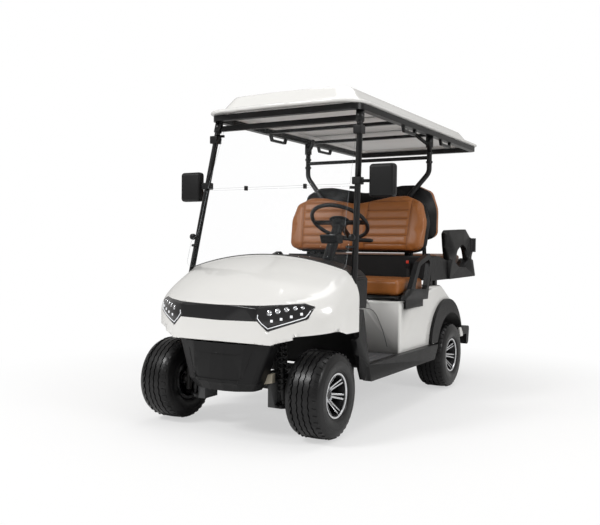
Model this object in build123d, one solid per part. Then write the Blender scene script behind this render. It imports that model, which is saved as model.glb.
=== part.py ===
"""Four-seat golf cart with a flip rear seat, in millimetres.

X is across (+X is the cart's left), the front faces -Y, Z is up and the ground is Z = 0.
Sections follow the cart as it is assembled: wheels, steering, frame, body, seats, roof.
"""
import os
from math import cos, radians, sin, tan

from build123d import *

os.makedirs("parts", exist_ok=True)

# ---------------------------------------------------------------- driving sizes
wheelbase = 1740
front_axle_y = -1110
rear_axle_y = front_axle_y + wheelbase
front_track = 934
rear_track = 950
overall_half_length = 1390
seat_fit = 0.3            # gap left between curved or soft pieces that rest on each other
running_fit = 0.05        # radial clearance of a shaft in its bore
moving_gap = 6            # least gap between moving pieces away from their pins


# ---------------------------------------------------------------- shape helpers
def outline_face(rows):
    """A flat face in its own u, v plane. Rows: u, v, corner radius."""
    points = [(Vector(u, v), r) for u, v, r in rows]
    edges = []
    ends = []
    for i, (corner, radius) in enumerate(points):
        to_last = (points[i - 1][0] - corner).normalized()
        to_next = (points[(i + 1) % len(points)][0] - corner).normalized()
        if radius <= 0:
            ends.append((corner, corner))
            continue
        half_angle = radians(to_last.get_angle(to_next)) / 2
        run = radius / tan(half_angle)
        start = corner + to_last * run
        end = corner + to_next * run
        middle = corner + (to_last + to_next).normalized() * (radius / sin(half_angle) - radius)
        edges.append(ThreePointArc(start, middle, end))
        ends.append((start, end))
    for i, (first, last) in enumerate(ends):
        following = ends[(i + 1) % len(ends)][0]
        if (following - last).length > 1e-4:
            edges.append(Line(last, following))
    return make_face(edges)


def prism(rows, plane, start, end):
    """An outline of rows u, v, radius on a plane, extruded from start to end along its normal."""
    base = plane.offset(start)
    return extrude(base * outline_face(rows), end - start, dir=plane.z_dir)


def side_prism(rows, x_start, x_end):
    """Rows y, z, radius, extruded along X."""
    return prism(rows, Plane.YZ, x_start, x_end)


def plan_prism(rows, z_start, z_end):
    """Rows x, y, radius, extruded along Z."""
    return prism(rows, Plane.XY, z_start, z_end)


def front_prism(rows, y_start, y_end):
    """Rows x, z, radius, extruded along Y."""
    return extrude(Plane.XZ.offset(-y_start) * outline_face(rows), y_end - y_start, dir=(0, 1, 0))


def block(x_range, y_range, z_range, edge=0):
    """A box between two corners, its edges rounded by edge."""
    size = [high - low for low, high in (x_range, y_range, z_range)]
    middle = [(high + low) / 2 for low, high in (x_range, y_range, z_range)]
    body = Pos(*middle) * Box(*size)
    return fillet(body.edges(), edge) if edge else body


def rod(start, end, radius):
    """A round bar between two points."""
    start, end = Vector(*start), Vector(*end)
    plane = Plane(origin=start, z_dir=(end - start))
    return extrude(plane * Circle(radius), (end - start).length)


def tube_run(points, outer, wall, bend):
    """A bent round tube along points, with arcs of radius bend at its corners."""
    path = FilletPolyline(*points, radius=bend) if len(points) > 2 else Line(*points)
    section = Plane(origin=path @ 0, z_dir=path % 0)
    body = sweep(section * Circle(outer), path=path)
    if wall:
        body -= sweep(section * Circle(outer - wall), path=path)
    return body


def both(piece):
    """The piece and its mirror twin on the other side."""
    return [piece, mirror(piece, Plane.YZ)]


def ring_about_x(rows, x=0, y=0, z=0):
    """Rows along-X, radius, corner radius, turned about an axis parallel to X."""
    return Pos(x, y, z) * revolve(Plane.XY * outline_face(rows), Axis.X)


def save(name, *pieces):
    """Write one node: one solid, or several that don't touch."""
    solids = [s for piece in pieces for s in piece.solids()]
    shape = solids[0] if len(solids) == 1 else Compound(children=solids)
    shape.label = name
    export_step(shape, f"parts/{name}.step")
    print(f"{name:26s} solids {len(solids)}  volume {sum(s.volume for s in solids) / 1e6:9.3f} l")


# ---------------------------------------------------------------- wheels
tyre_radius = 228.5
tyre_half_width = 102.5
rim_seat_radius = 101.6        # 8 inch rim
rim_half_width = 86            # between the flanges
rim_flange_radius = 115.5
rim_flange = 6
rim_wall = 5
rim_barrel_radius = rim_seat_radius - rim_wall
hub_face = 36                  # hub pad front, outboard of the wheel's middle
hub_pad = 14
hub_pad_radius = 44
hub_radius = 32
hub_back = -52                 # inner end of the hub, inboard of the wheel's middle
spindle_radius = 13
spoke_pairs = 7
spoke_width = 12
spoke_spacing = 25             # between the two bars of a pair
axle_z = tyre_radius


def tyre_solid():
    """Low-profile tyre: bead, bulged wall, shoulder, crowned tread."""
    bulge_radius = 165
    shoulder_radius = 216
    shoulder_half_width = 90
    half = [
        # along the axle, radius, corner radius
        (rim_half_width, rim_seat_radius, 0),
        (rim_half_width, rim_flange_radius + 4, 4),
        (tyre_half_width, bulge_radius - 14, 10),
        (tyre_half_width, bulge_radius + 14, 14),
        (shoulder_half_width, shoulder_radius, 10),
        (shoulder_half_width / 2, tyre_radius, 0),
    ]
    rows = half + [(-u, v, r) for u, v, r in reversed(half)]
    return ring_about_x(rows)


def wheel_solid():
    """Alloy wheel: barrel with flanges, dished face of paired spokes, hub with a bearing bore."""
    flange_out = rim_half_width + rim_flange
    face_lip = 12
    cap_radius = 26
    barrel = ring_about_x([
        # along the axle, radius, corner radius
        (-flange_out, rim_barrel_radius, 0),
        (-flange_out, rim_flange_radius, 2.5),
        (-rim_half_width, rim_flange_radius, 0),
        (-rim_half_width, rim_seat_radius, 0),
        (rim_half_width, rim_seat_radius, 0),
        (rim_half_width, rim_flange_radius, 0),
        (flange_out, rim_flange_radius, 2.5),
        (flange_out, rim_flange_radius - face_lip, 0),
        (rim_half_width - face_lip, rim_barrel_radius, 0),
    ])
    hub = ring_about_x([
        (hub_back, 0, 0),
        (hub_back, hub_radius, 3),
        (hub_face - hub_pad, hub_radius, 0),
        (hub_face - hub_pad, hub_pad_radius, 0),
        (hub_face, hub_pad_radius, 3),
        (hub_face, cap_radius, 0),
        (hub_face + 10, cap_radius - 3, 3),
        (hub_face + 10, 0, 0),
    ])
    spoke_root = hub_pad_radius - 10
    spoke_tip = rim_barrel_radius + rim_wall / 2
    spoke_front_tip = rim_half_width - face_lip + 2
    spoke_depth_tip = 20
    blank = extrude(Plane.XZ.offset(-spoke_width / 2) * outline_face([
        (hub_face - hub_pad, spoke_root, 0),
        (hub_face, spoke_root, 0),
        (spoke_front_tip, spoke_tip, 0),
        (spoke_front_tip - spoke_depth_tip, spoke_tip, 0),
    ]), spoke_width, dir=(0, -1, 0))
    wheel = barrel + hub
    for i in range(spoke_pairs):
        for side in (-1, 1):
            bar = Pos(0, side * spoke_spacing / 2, 0) * blank
            wheel += Rot(X=360 * i / spoke_pairs) * bar
    bore_end = hub_face - 8
    bore_radius = spindle_radius + running_fit
    wheel -= Pos((hub_back - 1 + bore_end) / 2, 0, 0) * Rot(Y=90) * Cylinder(bore_radius, bore_end - hub_back + 1)
    return wheel


tyre = tyre_solid()
wheel = wheel_solid()
wheel_places = [
    # node ending, side, track, axle y
    ("front_left", 1, front_track, front_axle_y),
    ("front_right", -1, front_track, front_axle_y),
    ("rear_left", 1, rear_track, rear_axle_y),
    ("rear_right", -1, rear_track, rear_axle_y),
]
for ending, side, track, y in wheel_places:
    turn = Rot(Z=0) if side > 0 else Rot(Z=180)
    place = Pos(side * track / 2, y, axle_z) * turn
    save(f"tyre_{ending}", place * tyre)
    save(f"wheel_{ending}", place * wheel)


# ---------------------------------------------------------------- front knuckles and steering
kingpin_x = 385
kingpin_radius = 9
eye_radius = 18
knuckle_half_height = 62
steer_arm_reach = 75           # from the kingpin back to the tie rod's ball joint
steer_arm_inset = 25           # the ball joint lies this much nearer the middle than the kingpin
tie_rod_z = 212                # middle of the steering arm
steer_arm_thick = 16
tie_pin_radius = 6
tie_head_radius = 12
tie_head_height = 18
spindle_start = kingpin_x + eye_radius - 4
front_wheel_x = front_track / 2


def knuckle_solid():
    """Upright with two pin eyes, a spindle for the wheel hub and an arm for the tie rod."""
    y = front_axle_y
    spindle_end = front_wheel_x + hub_face - 10
    upright = Pos(kingpin_x, y, axle_z) * Cylinder(eye_radius, 2 * knuckle_half_height)
    spindle = rod((spindle_start - 6, y, axle_z), (spindle_end, y, axle_z), spindle_radius)
    collar_end = front_wheel_x + hub_back - moving_gap
    collar = rod((kingpin_x, y, axle_z), (collar_end, y, axle_z), 24)
    arm_y = y + steer_arm_reach
    arm_x = kingpin_x - steer_arm_inset
    arm = plan_prism([
        # x, y, corner radius
        (kingpin_x - 14, y - 6, 0),
        (kingpin_x + 12, y - 6, 0),
        (kingpin_x + 12, y + 20, 8),
        (arm_x + 12, arm_y + 12, 8),
        (arm_x - 12, arm_y + 12, 8),
        (arm_x - 12, arm_y - 12, 8),
    ], tie_rod_z - steer_arm_thick / 2, tie_rod_z + steer_arm_thick / 2)
    body = upright + spindle + collar + arm
    kingpin_bore = Pos(kingpin_x, y, axle_z) * Cylinder(kingpin_radius + running_fit, 400)
    pin_depth = 36
    keep = Pos(kingpin_x, y, axle_z) * Cylinder(eye_radius, 2 * (knuckle_half_height - pin_depth))
    body -= kingpin_bore - keep
    body -= Pos(arm_x, arm_y, tie_rod_z) * Cylinder(tie_pin_radius + running_fit, 40)
    return body


def tie_rod_solid():
    """Rod from the knuckle's arm into the rack's boot, with a ball-joint housing at its outer end."""
    x = kingpin_x - steer_arm_inset
    y = front_axle_y + steer_arm_reach
    head = Pos(x, y, rack_z) * Cylinder(tie_head_radius, tie_head_height)
    pin_bottom = tie_rod_z - steer_arm_thick / 2 + 1
    pin = rod((x, y, pin_bottom), (x, y, rack_z), tie_pin_radius)
    bar = rod((x - tie_head_radius / 2, y, rack_z), (rack_boot_end - boot_overlap, y, rack_z), tie_rod_radius)
    return head + pin + bar


tie_rod_radius = 6
rack_boot_end = 235            # outer end of the steering rack's boots
boot_overlap = 60              # length of tie rod inside the boot at straight ahead
boot_depth = 105               # length of the boot's bore
thrust_gap = 0.5               # between faces that turn on each other
rack_z = tie_rod_z + steer_arm_thick / 2 + thrust_gap + tie_head_height / 2
rack_y = front_axle_y + steer_arm_reach - 9
rack_boot_radius = 30

knuckle = knuckle_solid()
save("knuckle_left", knuckle)
save("knuckle_right", mirror(knuckle, Plane.YZ))
tie_rod = tie_rod_solid()
save("tie_rod_left", tie_rod)
save("tie_rod_right", mirror(tie_rod, Plane.YZ))


# ---------------------------------------------------------------- frame
rail_x = 190                   # middle of each main rail
rail_width = 50
rail_bottom = 262
rail_top = 322
rail_front = -1230
rail_rear = 1170
rail_wall = 4
hitch_bore_radius = 8          # drawbar pin hole in the rear cross tube
tower_x = 225                  # shock towers over the front axle
tower_half = 22
tower_top = 560
tower_cap = 15
axle_tube_radius = 32
spring_x = 292
spring_width = 45
leaf = 8
leaf_reach = 300
leaf_rise = 36                 # how far the main leaf's ends curve up
leaf_seat_z = axle_z + axle_tube_radius + seat_fit
leaf_end_top = leaf_seat_z + 3 * leaf + leaf_rise
arm_thick = 20
lower_arm_z = axle_z - knuckle_half_height - thrust_gap - arm_thick / 2
upper_arm_z = axle_z + knuckle_half_height + thrust_gap + arm_thick / 2
arm_bolt_x = tower_x + tower_half
lower_arm_front = 90           # how far the lower arm reaches ahead of the axle
arm_rear = 25
shock_y = front_axle_y - 66
shock_head_x = 262
coil_radius = 28


def box_tube(x_range, y_range, z_range, wall, along):
    """A rectangular tube with open ends along one axis."""
    outer = block(x_range, y_range, z_range)
    cut = [(low + wall, high - wall) for low, high in (x_range, y_range, z_range)]
    cut["xyz".index(along)] = (-3000, 3000)
    return outer - block(*cut)


def chassis_solid():
    """Welded ladder frame: two rails, cross tubes, outriggers for the sills, shock towers."""
    half = rail_width / 2
    frame = None
    for side in (-1, 1):
        low, high = sorted((side * (rail_x - half), side * (rail_x + half)))
        rail = box_tube((low, high), (rail_front, rail_rear), (rail_bottom, rail_top), rail_wall, "y")
        frame = rail if frame is None else frame + rail
    inner = rail_x - half
    cross_tubes = [
        # y start, y end
        (rail_front, rail_front + 40),
        (-820, -780),
        (-240, -200),
        (330, 370),
        (rail_rear - 40, rail_rear),
    ]
    for y_low, y_high in cross_tubes:
        frame += block((-inner, inner), (y_low, y_high), (rail_bottom + 10, rail_top - 10))
    outer = rail_x + half
    outriggers = [(-770, -735), (-240, -205), (250, 285)]
    for y_low, y_high in outriggers:
        for side in (-1, 1):
            low, high = sorted((side * outer, side * sill_inner_x))
            frame += block((low, high), (y_low, y_high), (rail_top - 40, rail_top))
    for side in (-1, 1):
        low, high = sorted((side * (tower_x - tower_half), side * (tower_x + tower_half)))
        frame += block((low, high), (front_axle_y - 30, front_axle_y + 30), (rail_bottom, tower_top))
        hanger_y = (front_axle_y - lower_arm_front, front_axle_y + arm_rear)
        frame += block((low, high), hanger_y, (lower_arm_z - arm_thick / 2, rail_bottom + 20))
        cap_low, cap_high = sorted((side * tower_x, side * (shock_head_x + 22)))
        cap_y = (shock_y - 30, front_axle_y - 20)
        frame += block((cap_low, cap_high), cap_y, (tower_top - tower_cap, tower_top))
        for y in (rear_axle_y - leaf_reach, rear_axle_y + leaf_reach):
            low, high = sorted((side * rail_x, side * (spring_x + spring_width / 2)))
            frame += block((low, high), (y - 18, y + 18), (leaf_end_top, leaf_end_top + 24))
    frame += block((-tower_x, tower_x), (front_axle_y - 20, front_axle_y + 20), (tower_top - 40, tower_top))
    frame -= Pos(0, rail_rear - 20, rail_bottom + 30) * Cylinder(hitch_bore_radius, 60)
    return frame


sill_inner_x = 470
save("chassis_frame", chassis_solid())


# ---------------------------------------------------------------- front suspension
pin_length = 34


def wishbone(z, pin_up, front_reach):
    """A-shaped arm from the frame to the kingpin, with the pin that the knuckle turns on."""
    y = front_axle_y
    plate = plan_prism([
        # x, y, corner radius
        (arm_bolt_x, y - front_reach, 0),
        (arm_bolt_x + 36, y - front_reach, 12),
        (kingpin_x - 30, y - 20, 20),
        (kingpin_x + eye_radius, y - 20, 14),
        (kingpin_x + eye_radius, y + 20, 14),
        (kingpin_x - 30, y + 20, 20),
        (arm_bolt_x, y + arm_rear, 0),
    ], z - arm_thick / 2, z + arm_thick / 2)
    step = 1 if pin_up else -1
    pin = rod((kingpin_x, y, z), (kingpin_x, y, z + step * (arm_thick / 2 + pin_length)), kingpin_radius)
    return plate + pin


arms = both(wishbone(lower_arm_z, True, lower_arm_front)) + both(wishbone(upper_arm_z, False, arm_rear))
save("front_arms", *arms)


def coil_shock(foot, head, coil_radius, coils):
    """Damper with an eye at each end and a stacked coil round it."""
    foot, head = Vector(*foot), Vector(*head)
    length = (head - foot).length
    eye = 14
    rows = [(0, 0, 0), (0, 9, 0), (eye, 9, 0)]
    spring_start = length * 0.18
    spring_end = length * 0.9
    rows += [(spring_start, 9, 0), (spring_start, coil_radius, 0)]
    pitch = (spring_end - spring_start) / coils
    for i in range(coils):
        low = spring_start + pitch * (i + 0.5)
        rows += [(low, coil_radius - 9, 0), (spring_start + pitch * (i + 1), coil_radius, 0)]
    rows += [(spring_end, 16, 0), (length, 16, 0), (length, 0, 0)]
    profile = revolve(Plane.XY * outline_face(rows), Axis.X)
    frame = Plane(origin=foot, x_dir=head - foot, z_dir=(head - foot).cross(Vector(0, 1, 0)))
    return frame.location * profile


shock_foot = (284, shock_y, lower_arm_z + arm_thick / 2 + 1.3)
shock_head = (shock_head_x, shock_y, tower_top - tower_cap - 2)
front_shock = coil_shock(shock_foot, shock_head, coil_radius, 9)
save("front_coil_shocks", *both(front_shock))

def rack_solid():
    """Rack housing across the frame, a hollow boot at each end, and the pinion tower."""
    boot_start = rack_boot_end - boot_depth - 8
    bar = rod((-boot_start, rack_y, rack_z), (boot_start, rack_y, rack_z), 22)
    for side in (-1, 1):
        boot = rod((side * (boot_start - 1), rack_y, rack_z), (side * rack_boot_end, rack_y, rack_z),
                   rack_boot_radius)
        bore_start = side * (rack_boot_end - boot_depth)
        bore = rod((bore_start, rack_y, rack_z), (side * (rack_boot_end + 1), rack_y, rack_z),
                   rack_boot_radius - 4)
        bar += boot - bore
        saddle_x = sorted((side * (rail_x - 15), side * (rail_x + 15)))
        saddle = block(saddle_x, (rack_y - 15, rack_y + 15), (rack_z + 20, rail_bottom))
        bar += saddle - bore
    return bar


save("steering_rack", rack_solid())


# ---------------------------------------------------------------- rear axle, motor, battery
def rear_axle_solid():
    """Transaxle: differential, axle tubes with brake drums, stub shafts, motor on the case."""
    y = rear_axle_y
    wheel_x = rear_track / 2
    drum_radius = 84
    drum_out = wheel_x + hub_back - moving_gap
    case = Pos(0, y, axle_z) * Sphere(95)
    axle = case + rod((-drum_out + 30, y, axle_z), (drum_out - 30, y, axle_z), axle_tube_radius)
    for side in (-1, 1):
        axle += rod((side * (drum_out - 40), y, axle_z), (side * drum_out, y, axle_z), drum_radius)
        shaft_end = wheel_x + hub_face - 10
        axle += rod((side * (drum_out - 4), y, axle_z), (side * shaft_end, y, axle_z), spindle_radius)
    motor_radius = 92
    motor_z = axle_z + 40
    axle += rod((0, y + 60, motor_z), (0, y + 330, motor_z), motor_radius)
    return axle


save("rear_axle", rear_axle_solid())


def leaf_spring_solid(side):
    """Three stacked leaves arched over the axle tube, shorter towards the axle."""
    x_low = spring_x - spring_width / 2
    x_high = spring_x + spring_width / 2
    flat = 60
    spring = None
    for i, reach in enumerate((leaf_reach, leaf_reach - 90, leaf_reach - 180)):
        z = leaf_seat_z + (2 - i) * leaf
        rise = leaf_rise * (reach / leaf_reach) ** 2
        strip = side_prism([
            # y, z, corner radius
            (rear_axle_y - reach, z + rise, 0),
            (rear_axle_y - flat, z, 60),
            (rear_axle_y + flat, z, 60),
            (rear_axle_y + reach, z + rise, 0),
            (rear_axle_y + reach, z + rise + leaf, 0),
            (rear_axle_y + flat, z + leaf, 60),
            (rear_axle_y - flat, z + leaf, 60),
            (rear_axle_y - reach, z + rise + leaf, 0),
        ], x_low, x_high)
        spring = strip if spring is None else spring + strip
    return spring if side > 0 else mirror(spring, Plane.YZ)


save("leaf_springs", leaf_spring_solid(1), leaf_spring_solid(-1))

battery_pack = block((-300, 300), (-160, 220), (rail_top, 560), 6)
save("battery_pack", battery_pack)


# ---------------------------------------------------------------- floor
floor_skin = 6
floor_z = rail_top + floor_skin        # top of the steel floor pan
rear_front_y = -246            # front face of the rear body
floor_front = -800
floor_rear = rear_front_y + 20
floor_half_width = 540
toe_board_top = 620


def floor_solid():
    """Floor pan with a sloped toe board, clear of the front tyres at full lock."""
    skin = floor_skin
    rows = [
        # y, z, corner radius
        (floor_rear, floor_z - skin, 0),
        (floor_front, floor_z - skin, 30),
        (toe_board_y, toe_board_top, 0),
        (toe_board_y + skin, toe_board_top, 0),
        (floor_front + skin, floor_z, 26),
        (floor_rear, floor_z, 0),
    ]
    pan = side_prism(rows, -floor_half_width, floor_half_width)
    return pan


def toe_plane_y(z):
    """Rear face of the sloped toe board at a height."""
    share = (z - floor_z) / (toe_board_top - floor_z)
    return floor_front + floor_skin + (toe_board_y - floor_front) * share


toe_board_y = -890
save("floor_panel", floor_solid())
mat_thick = 5
floor_mat = plan_prism([
    # x, y, corner radius
    (-505, floor_front + 45, 30),
    (505, floor_front + 45, 30),
    (505, rear_front_y - 6, 20),
    (-505, rear_front_y - 6, 20),
], floor_z, floor_z + mat_thick)
save("floor_mat", floor_mat)


# ---------------------------------------------------------------- side sills and arch trims
sill_half_width = 585
sill_rear = 300
sill_front = -800
cowl_rear_y = -905             # rear edge of the front body
fender_rear_z = 508            # lower edge of the front body at its rear


def sill_solid():
    """Running board with a raised edge, joined to the trim that climbs the door opening."""
    board = side_prism([
        # y, z, corner radius
        (sill_front - 4, 345, 14),
        (sill_front + 30, 250, 30),
        (sill_rear - 60, 246, 30),
        (sill_rear, 322, 10),
        (sill_rear, 340, 0),
    ], floor_half_width, sill_half_width)
    edge = side_prism([
        # y, z, corner radius
        (sill_front + 60, 338, 0),
        (-765, 342, 10),
        (-850, 650, 12),
        (cowl_rear_y, 650, 0),
        (cowl_rear_y, fender_rear_z, 0),
        (-940, fender_rear_z - 12, 8),
        (-902, 410, 80),
        (-826, 268, 8),
        (sill_front + 40, 260, 0),
    ], floor_half_width + 8, sill_half_width - 6)
    return board + edge


sill = sill_solid()


# ---------------------------------------------------------------- front body
body_skin = 5
nose_y = -1345
cowl_bottom = 484
chin_skin = 8                  # thickness of the rounded chin under the nose
open_bottom = -60              # how far the hollow runs out below the body behind the chin
cowl_sections = [
    # y, half width, bottom z, shoulder half width, shoulder z, centre z, hollow's bottom above it
    (nose_y - 22, 215, 494, 196, 664, 676, chin_skin),
    (nose_y - 10, 285, 490, 262, 674, 690, chin_skin),
    (nose_y + 22, 354, 486, 324, 684, 708, chin_skin),
    (nose_y + 75, 434, cowl_bottom, 384, 700, 738, open_bottom),
    (-1190, 522, cowl_bottom, 440, 726, 788, open_bottom),
    (-1050, 572, cowl_bottom, 476, 794, 868, open_bottom),
    (-970, 577, cowl_bottom, 490, 829, 905, open_bottom),
    (cowl_rear_y, 579, cowl_bottom, 503, 858, 936, open_bottom),
]


def cowl_section(y, half_width, bottom, shoulder_x, shoulder_z, centre_z, inset=0):
    """Closed section across the cart: flat bottom, side, shoulder corner, crowned top."""
    w = half_width - inset
    s = shoulder_x - inset
    side_low = Line((-w, bottom), (w, bottom))
    mid_z = bottom + (shoulder_z - bottom) * 0.55
    right = Line((w, bottom), (w, mid_z - inset))
    left = Line((-w, mid_z - inset), (-w, bottom))
    bulge = 0.62
    knee_x = s + (w - s) * bulge + 6
    knee_z = mid_z + (shoulder_z - mid_z) * bulge - inset
    right_knee = ThreePointArc((w, mid_z - inset), (knee_x, knee_z), (s, shoulder_z - inset))
    left_knee = ThreePointArc((-s, shoulder_z - inset), (-knee_x, knee_z), (-w, mid_z - inset))
    crown = ThreePointArc((s, shoulder_z - inset), (0, centre_z - inset), (-s, shoulder_z - inset))
    face = make_face([side_low, right, right_knee, crown, left_knee, left])
    return Plane.XZ.offset(-y) * face


def front_body_solid():
    """Moulded cowl and fenders in one shell, open underneath and at the back."""
    outer = loft([cowl_section(*row[:6]) for row in cowl_sections], ruled=False)
    inner_rows = [(y, w, bottom + lift, s, sz, cz) for y, w, bottom, s, sz, cz, lift in cowl_sections]
    inner = loft([cowl_section(*row, inset=body_skin) for row in inner_rows], ruled=False)
    shell = outer - Pos(0, body_skin + 2, 0) * inner
    under_nose = front_prism([
        # x, z, corner radius
        (270, 300, 0),
        (270, cowl_bottom, 80),
        (430, 524, 80),
        (700, 545, 0),
        (700, 300, 0),
    ], nose_y - 60, cowl_rear_y + 10)
    arch = side_prism([
        # y, z, corner radius
        (-1330, 300, 0),
        (-1310, 530, 40),
        (front_axle_y, 557, 160),
        (-975, fender_rear_z + 7, 60),
        (cowl_rear_y + 10, fender_rear_z, 0),
        (cowl_rear_y + 10, 300, 0),
    ], 400, 700)
    for tool in both(under_nose) + both(arch):
        shell -= tool
    return shell


# ---------------------------------------------------------------- grille band, headlights, valance
grille_bottom = 600
grille_top = 680
grille_outline = [
    # x, z, corner radius
    (-250, grille_top + 4, 10),
    (-250, grille_bottom + 6, 10),
    (0, grille_bottom, 900),
    (250, grille_bottom + 6, 10),
    (250, grille_top + 4, 10),
    (0, grille_top, 900),
]
lamp_outline = [
    # x, z, corner radius
    (244, 684, 6),
    (230, 614, 12),
    (292, 556, 12),
    (464, 620, 18),
    (484, 681, 10),
    (438, 698, 24),
]
grille_cut = front_prism(grille_outline, nose_y - 80, nose_y + 120)
lamp_cut = front_prism(lamp_outline, nose_y - 80, nose_y + 240)
front_skin = front_body_solid()
grille_band = front_skin & grille_cut
front_body = front_skin - grille_cut
headlights = []
for lamp_tool in both(lamp_cut):
    headlights.append(front_skin & lamp_tool)
    front_body -= lamp_tool
    grille_band -= lamp_tool
save("grille_band", grille_band)
save("headlights", *headlights)

valance_top = cowl_bottom - 0.5
valance_bottom = 240
valance_wall = 5


def valance_outline(half_width, front, grow=0):
    """Rows: x, y, corner radius."""
    w = half_width - grow
    return [
        (-w, rail_front, 0),
        (-w, front + 62 + grow, 40),
        (-w * 0.55, front + 12 + grow, 60),
        (-40, front + grow, 60),
        (40, front + grow, 60),
        (w * 0.55, front + 12 + grow, 60),
        (w, front + 62 + grow, 40),
        (w, rail_front, 0),
    ]


def front_valance_solid():
    """Black lower bumper, wider at its top, hollow at the back, with a recessed centre."""
    front = -overall_half_length
    levels = [
        # z, half width, front y
        (valance_bottom, 185, front + 26),
        (valance_bottom + 45, 215, front),
        (valance_top, 292, front + 16),
    ]
    outer = loft([Plane.XY.offset(z) * outline_face(valance_outline(w, y)) for z, w, y in levels], ruled=True)
    inner = loft([Plane.XY.offset(z) * outline_face(valance_outline(w, y, valance_wall + 9))
                  for z, w, y in levels], ruled=True)
    inner = Pos(0, 12, 0) * inner
    inner = inner & block((-400, 400), (front - 50, 0), (valance_bottom + valance_wall, valance_top - valance_wall))
    recess = front_prism([
        # x, z, corner radius
        (-185, 432, 10),
        (-135, 300, 14),
        (135, 300, 14),
        (185, 432, 10),
    ], front - 60, front + 24)
    recess_floor = Pos(0, 6, 0) * outer
    return outer - inner - (recess - recess_floor)


save("front_valance", front_valance_solid())


# ---------------------------------------------------------------- dashboard, column, wheel, pedals
dash_depth = 185
dash_wall = 6
wheel_centre = Vector(215, -430, 1130)
column_tilt = 33               # steering column away from upright
wheel_rim_radius = 173
wheel_tube_radius = 12
column_radius = 32
column_shaft_radius = 10
lower_shaft_radius = 18
column_direction = Vector(0, sin(radians(column_tilt)), cos(radians(column_tilt)))


def dashboard_solid():
    """Moulded dash behind the cowl, following its crown, with open trays each side."""
    rear_row = cowl_sections[-1][:6]
    face = cowl_section(*rear_row, inset=3)
    form = extrude(face, dash_depth, dir=(0, 1, 0))
    side = side_prism([
        # y, z, corner radius
        (cowl_rear_y + seat_fit, 650, 0),
        (cowl_rear_y + seat_fit, 1000, 0),
        (cowl_rear_y + dash_depth, 1000, 0),
        (cowl_rear_y + dash_depth - 25, 650, 0),
    ], -545, 545)
    body = form & side
    hollow_face = cowl_section(*rear_row, inset=3 + dash_wall)
    hollow = extrude(hollow_face, dash_depth - dash_wall, dir=(0, 1, 0))
    hollow = hollow & block((-538, 538), (cowl_rear_y - 10, 0), (600, 1000))
    body -= hollow
    body -= block((-330, -90), (cowl_rear_y + dash_depth - 60, 0), (735, 815))
    return body


column_foot = wheel_centre - column_direction * 330
column_head = wheel_centre - column_direction * 38
lower_shaft = rod(wheel_centre - column_direction * 800, column_foot, lower_shaft_radius)
ahead_of_toe_board = side_prism([
    # y, z, corner radius
    (toe_plane_y(toe_board_top), toe_board_top, 0),
    (toe_plane_y(floor_z), floor_z, 0),
    (-1200, floor_z, 0),
    (-1200, toe_board_top, 0),
], -floor_half_width, floor_half_width)
column = rod(column_foot, column_head, column_radius)
column += lower_shaft - ahead_of_toe_board
column += block((wheel_centre.X - 42, wheel_centre.X + 42), (-500, -462), (1020, 1052), 4)
column -= rod(wheel_centre - column_direction * 150, wheel_centre, column_shaft_radius + running_fit)
dashboard = dashboard_solid() - lower_shaft
save("steering_column", column)


def steering_wheel_solid():
    """Three-spoke wheel with a padded hub, on the shaft that turns in the column."""
    rim = Torus(wheel_rim_radius, wheel_tube_radius)
    hub = Pos(0, 0, -12) * Cylinder(48, 32)
    wheel_body = rim + hub
    for angle in (0, 90, 180):
        spoke = Rot(Z=angle) * block((40, wheel_rim_radius - 2), (-16, 16), (-10, 2))
        wheel_body += spoke
    shaft_length = 120
    wheel_body += Pos(0, 0, -20 - shaft_length / 2) * Cylinder(column_shaft_radius, shaft_length)
    plane = Plane(origin=wheel_centre, x_dir=(1, 0, 0), z_dir=column_direction)
    return plane.location * wheel_body


save("steering_wheel", steering_wheel_solid())


pedal_root_top = 548


def pedal(x, width):
    """Pedal pad on an arm bent up to the toe board."""
    arm = side_prism([
        # y, z, corner radius
        (toe_board_y + 60, 520, 6),
        (toe_board_y + 120, 420, 6),
        (toe_board_y + 134, 424, 6),
        (toe_board_y + 74, 528, 6),
        (toe_plane_y(pedal_root_top), pedal_root_top, 0),
        (toe_plane_y(pedal_root_top - 20), pedal_root_top - 20, 0),
    ], x - 8, x + 8)
    pad = side_prism([
        (toe_board_y + 92, 452, 3),
        (toe_board_y + 140, 372, 3),
        (toe_board_y + 150, 378, 3),
        (toe_board_y + 102, 458, 3),
    ], x - width / 2, x + width / 2)
    return arm + pad


save("pedals", pedal(150, 90), pedal(290, 60))


# ---------------------------------------------------------------- rear body
rear_half_width = 540
rear_skin = 6
seat_deck_z = 655
rear_deck_z = 726
rear_wall = 12
step_y = 130                   # where the side rises behind the front seat
well_rear = 222                # rear wall of the well that the front cushion drops into
arch_y = rear_axle_y + 2
arch_z = 240
arch_radius = 288


def rear_body_rows(grow, bottom, step):
    """Side outline of the rear body, its side rising at step. Rows: y, z, corner radius."""
    return [
        (rear_front_y - grow, bottom, 0),
        (rear_front_y - grow, seat_deck_z + grow, 12),
        (step - 30 - grow, seat_deck_z + grow, 10),
        (step - grow, rear_deck_z + grow, 14),
        (480 + grow, rear_deck_z + grow, 120),
        (800 + grow, 560 + grow, 160),
        (985 + grow, 350, 30),
        (985 + grow, bottom, 0),
    ]


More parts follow.
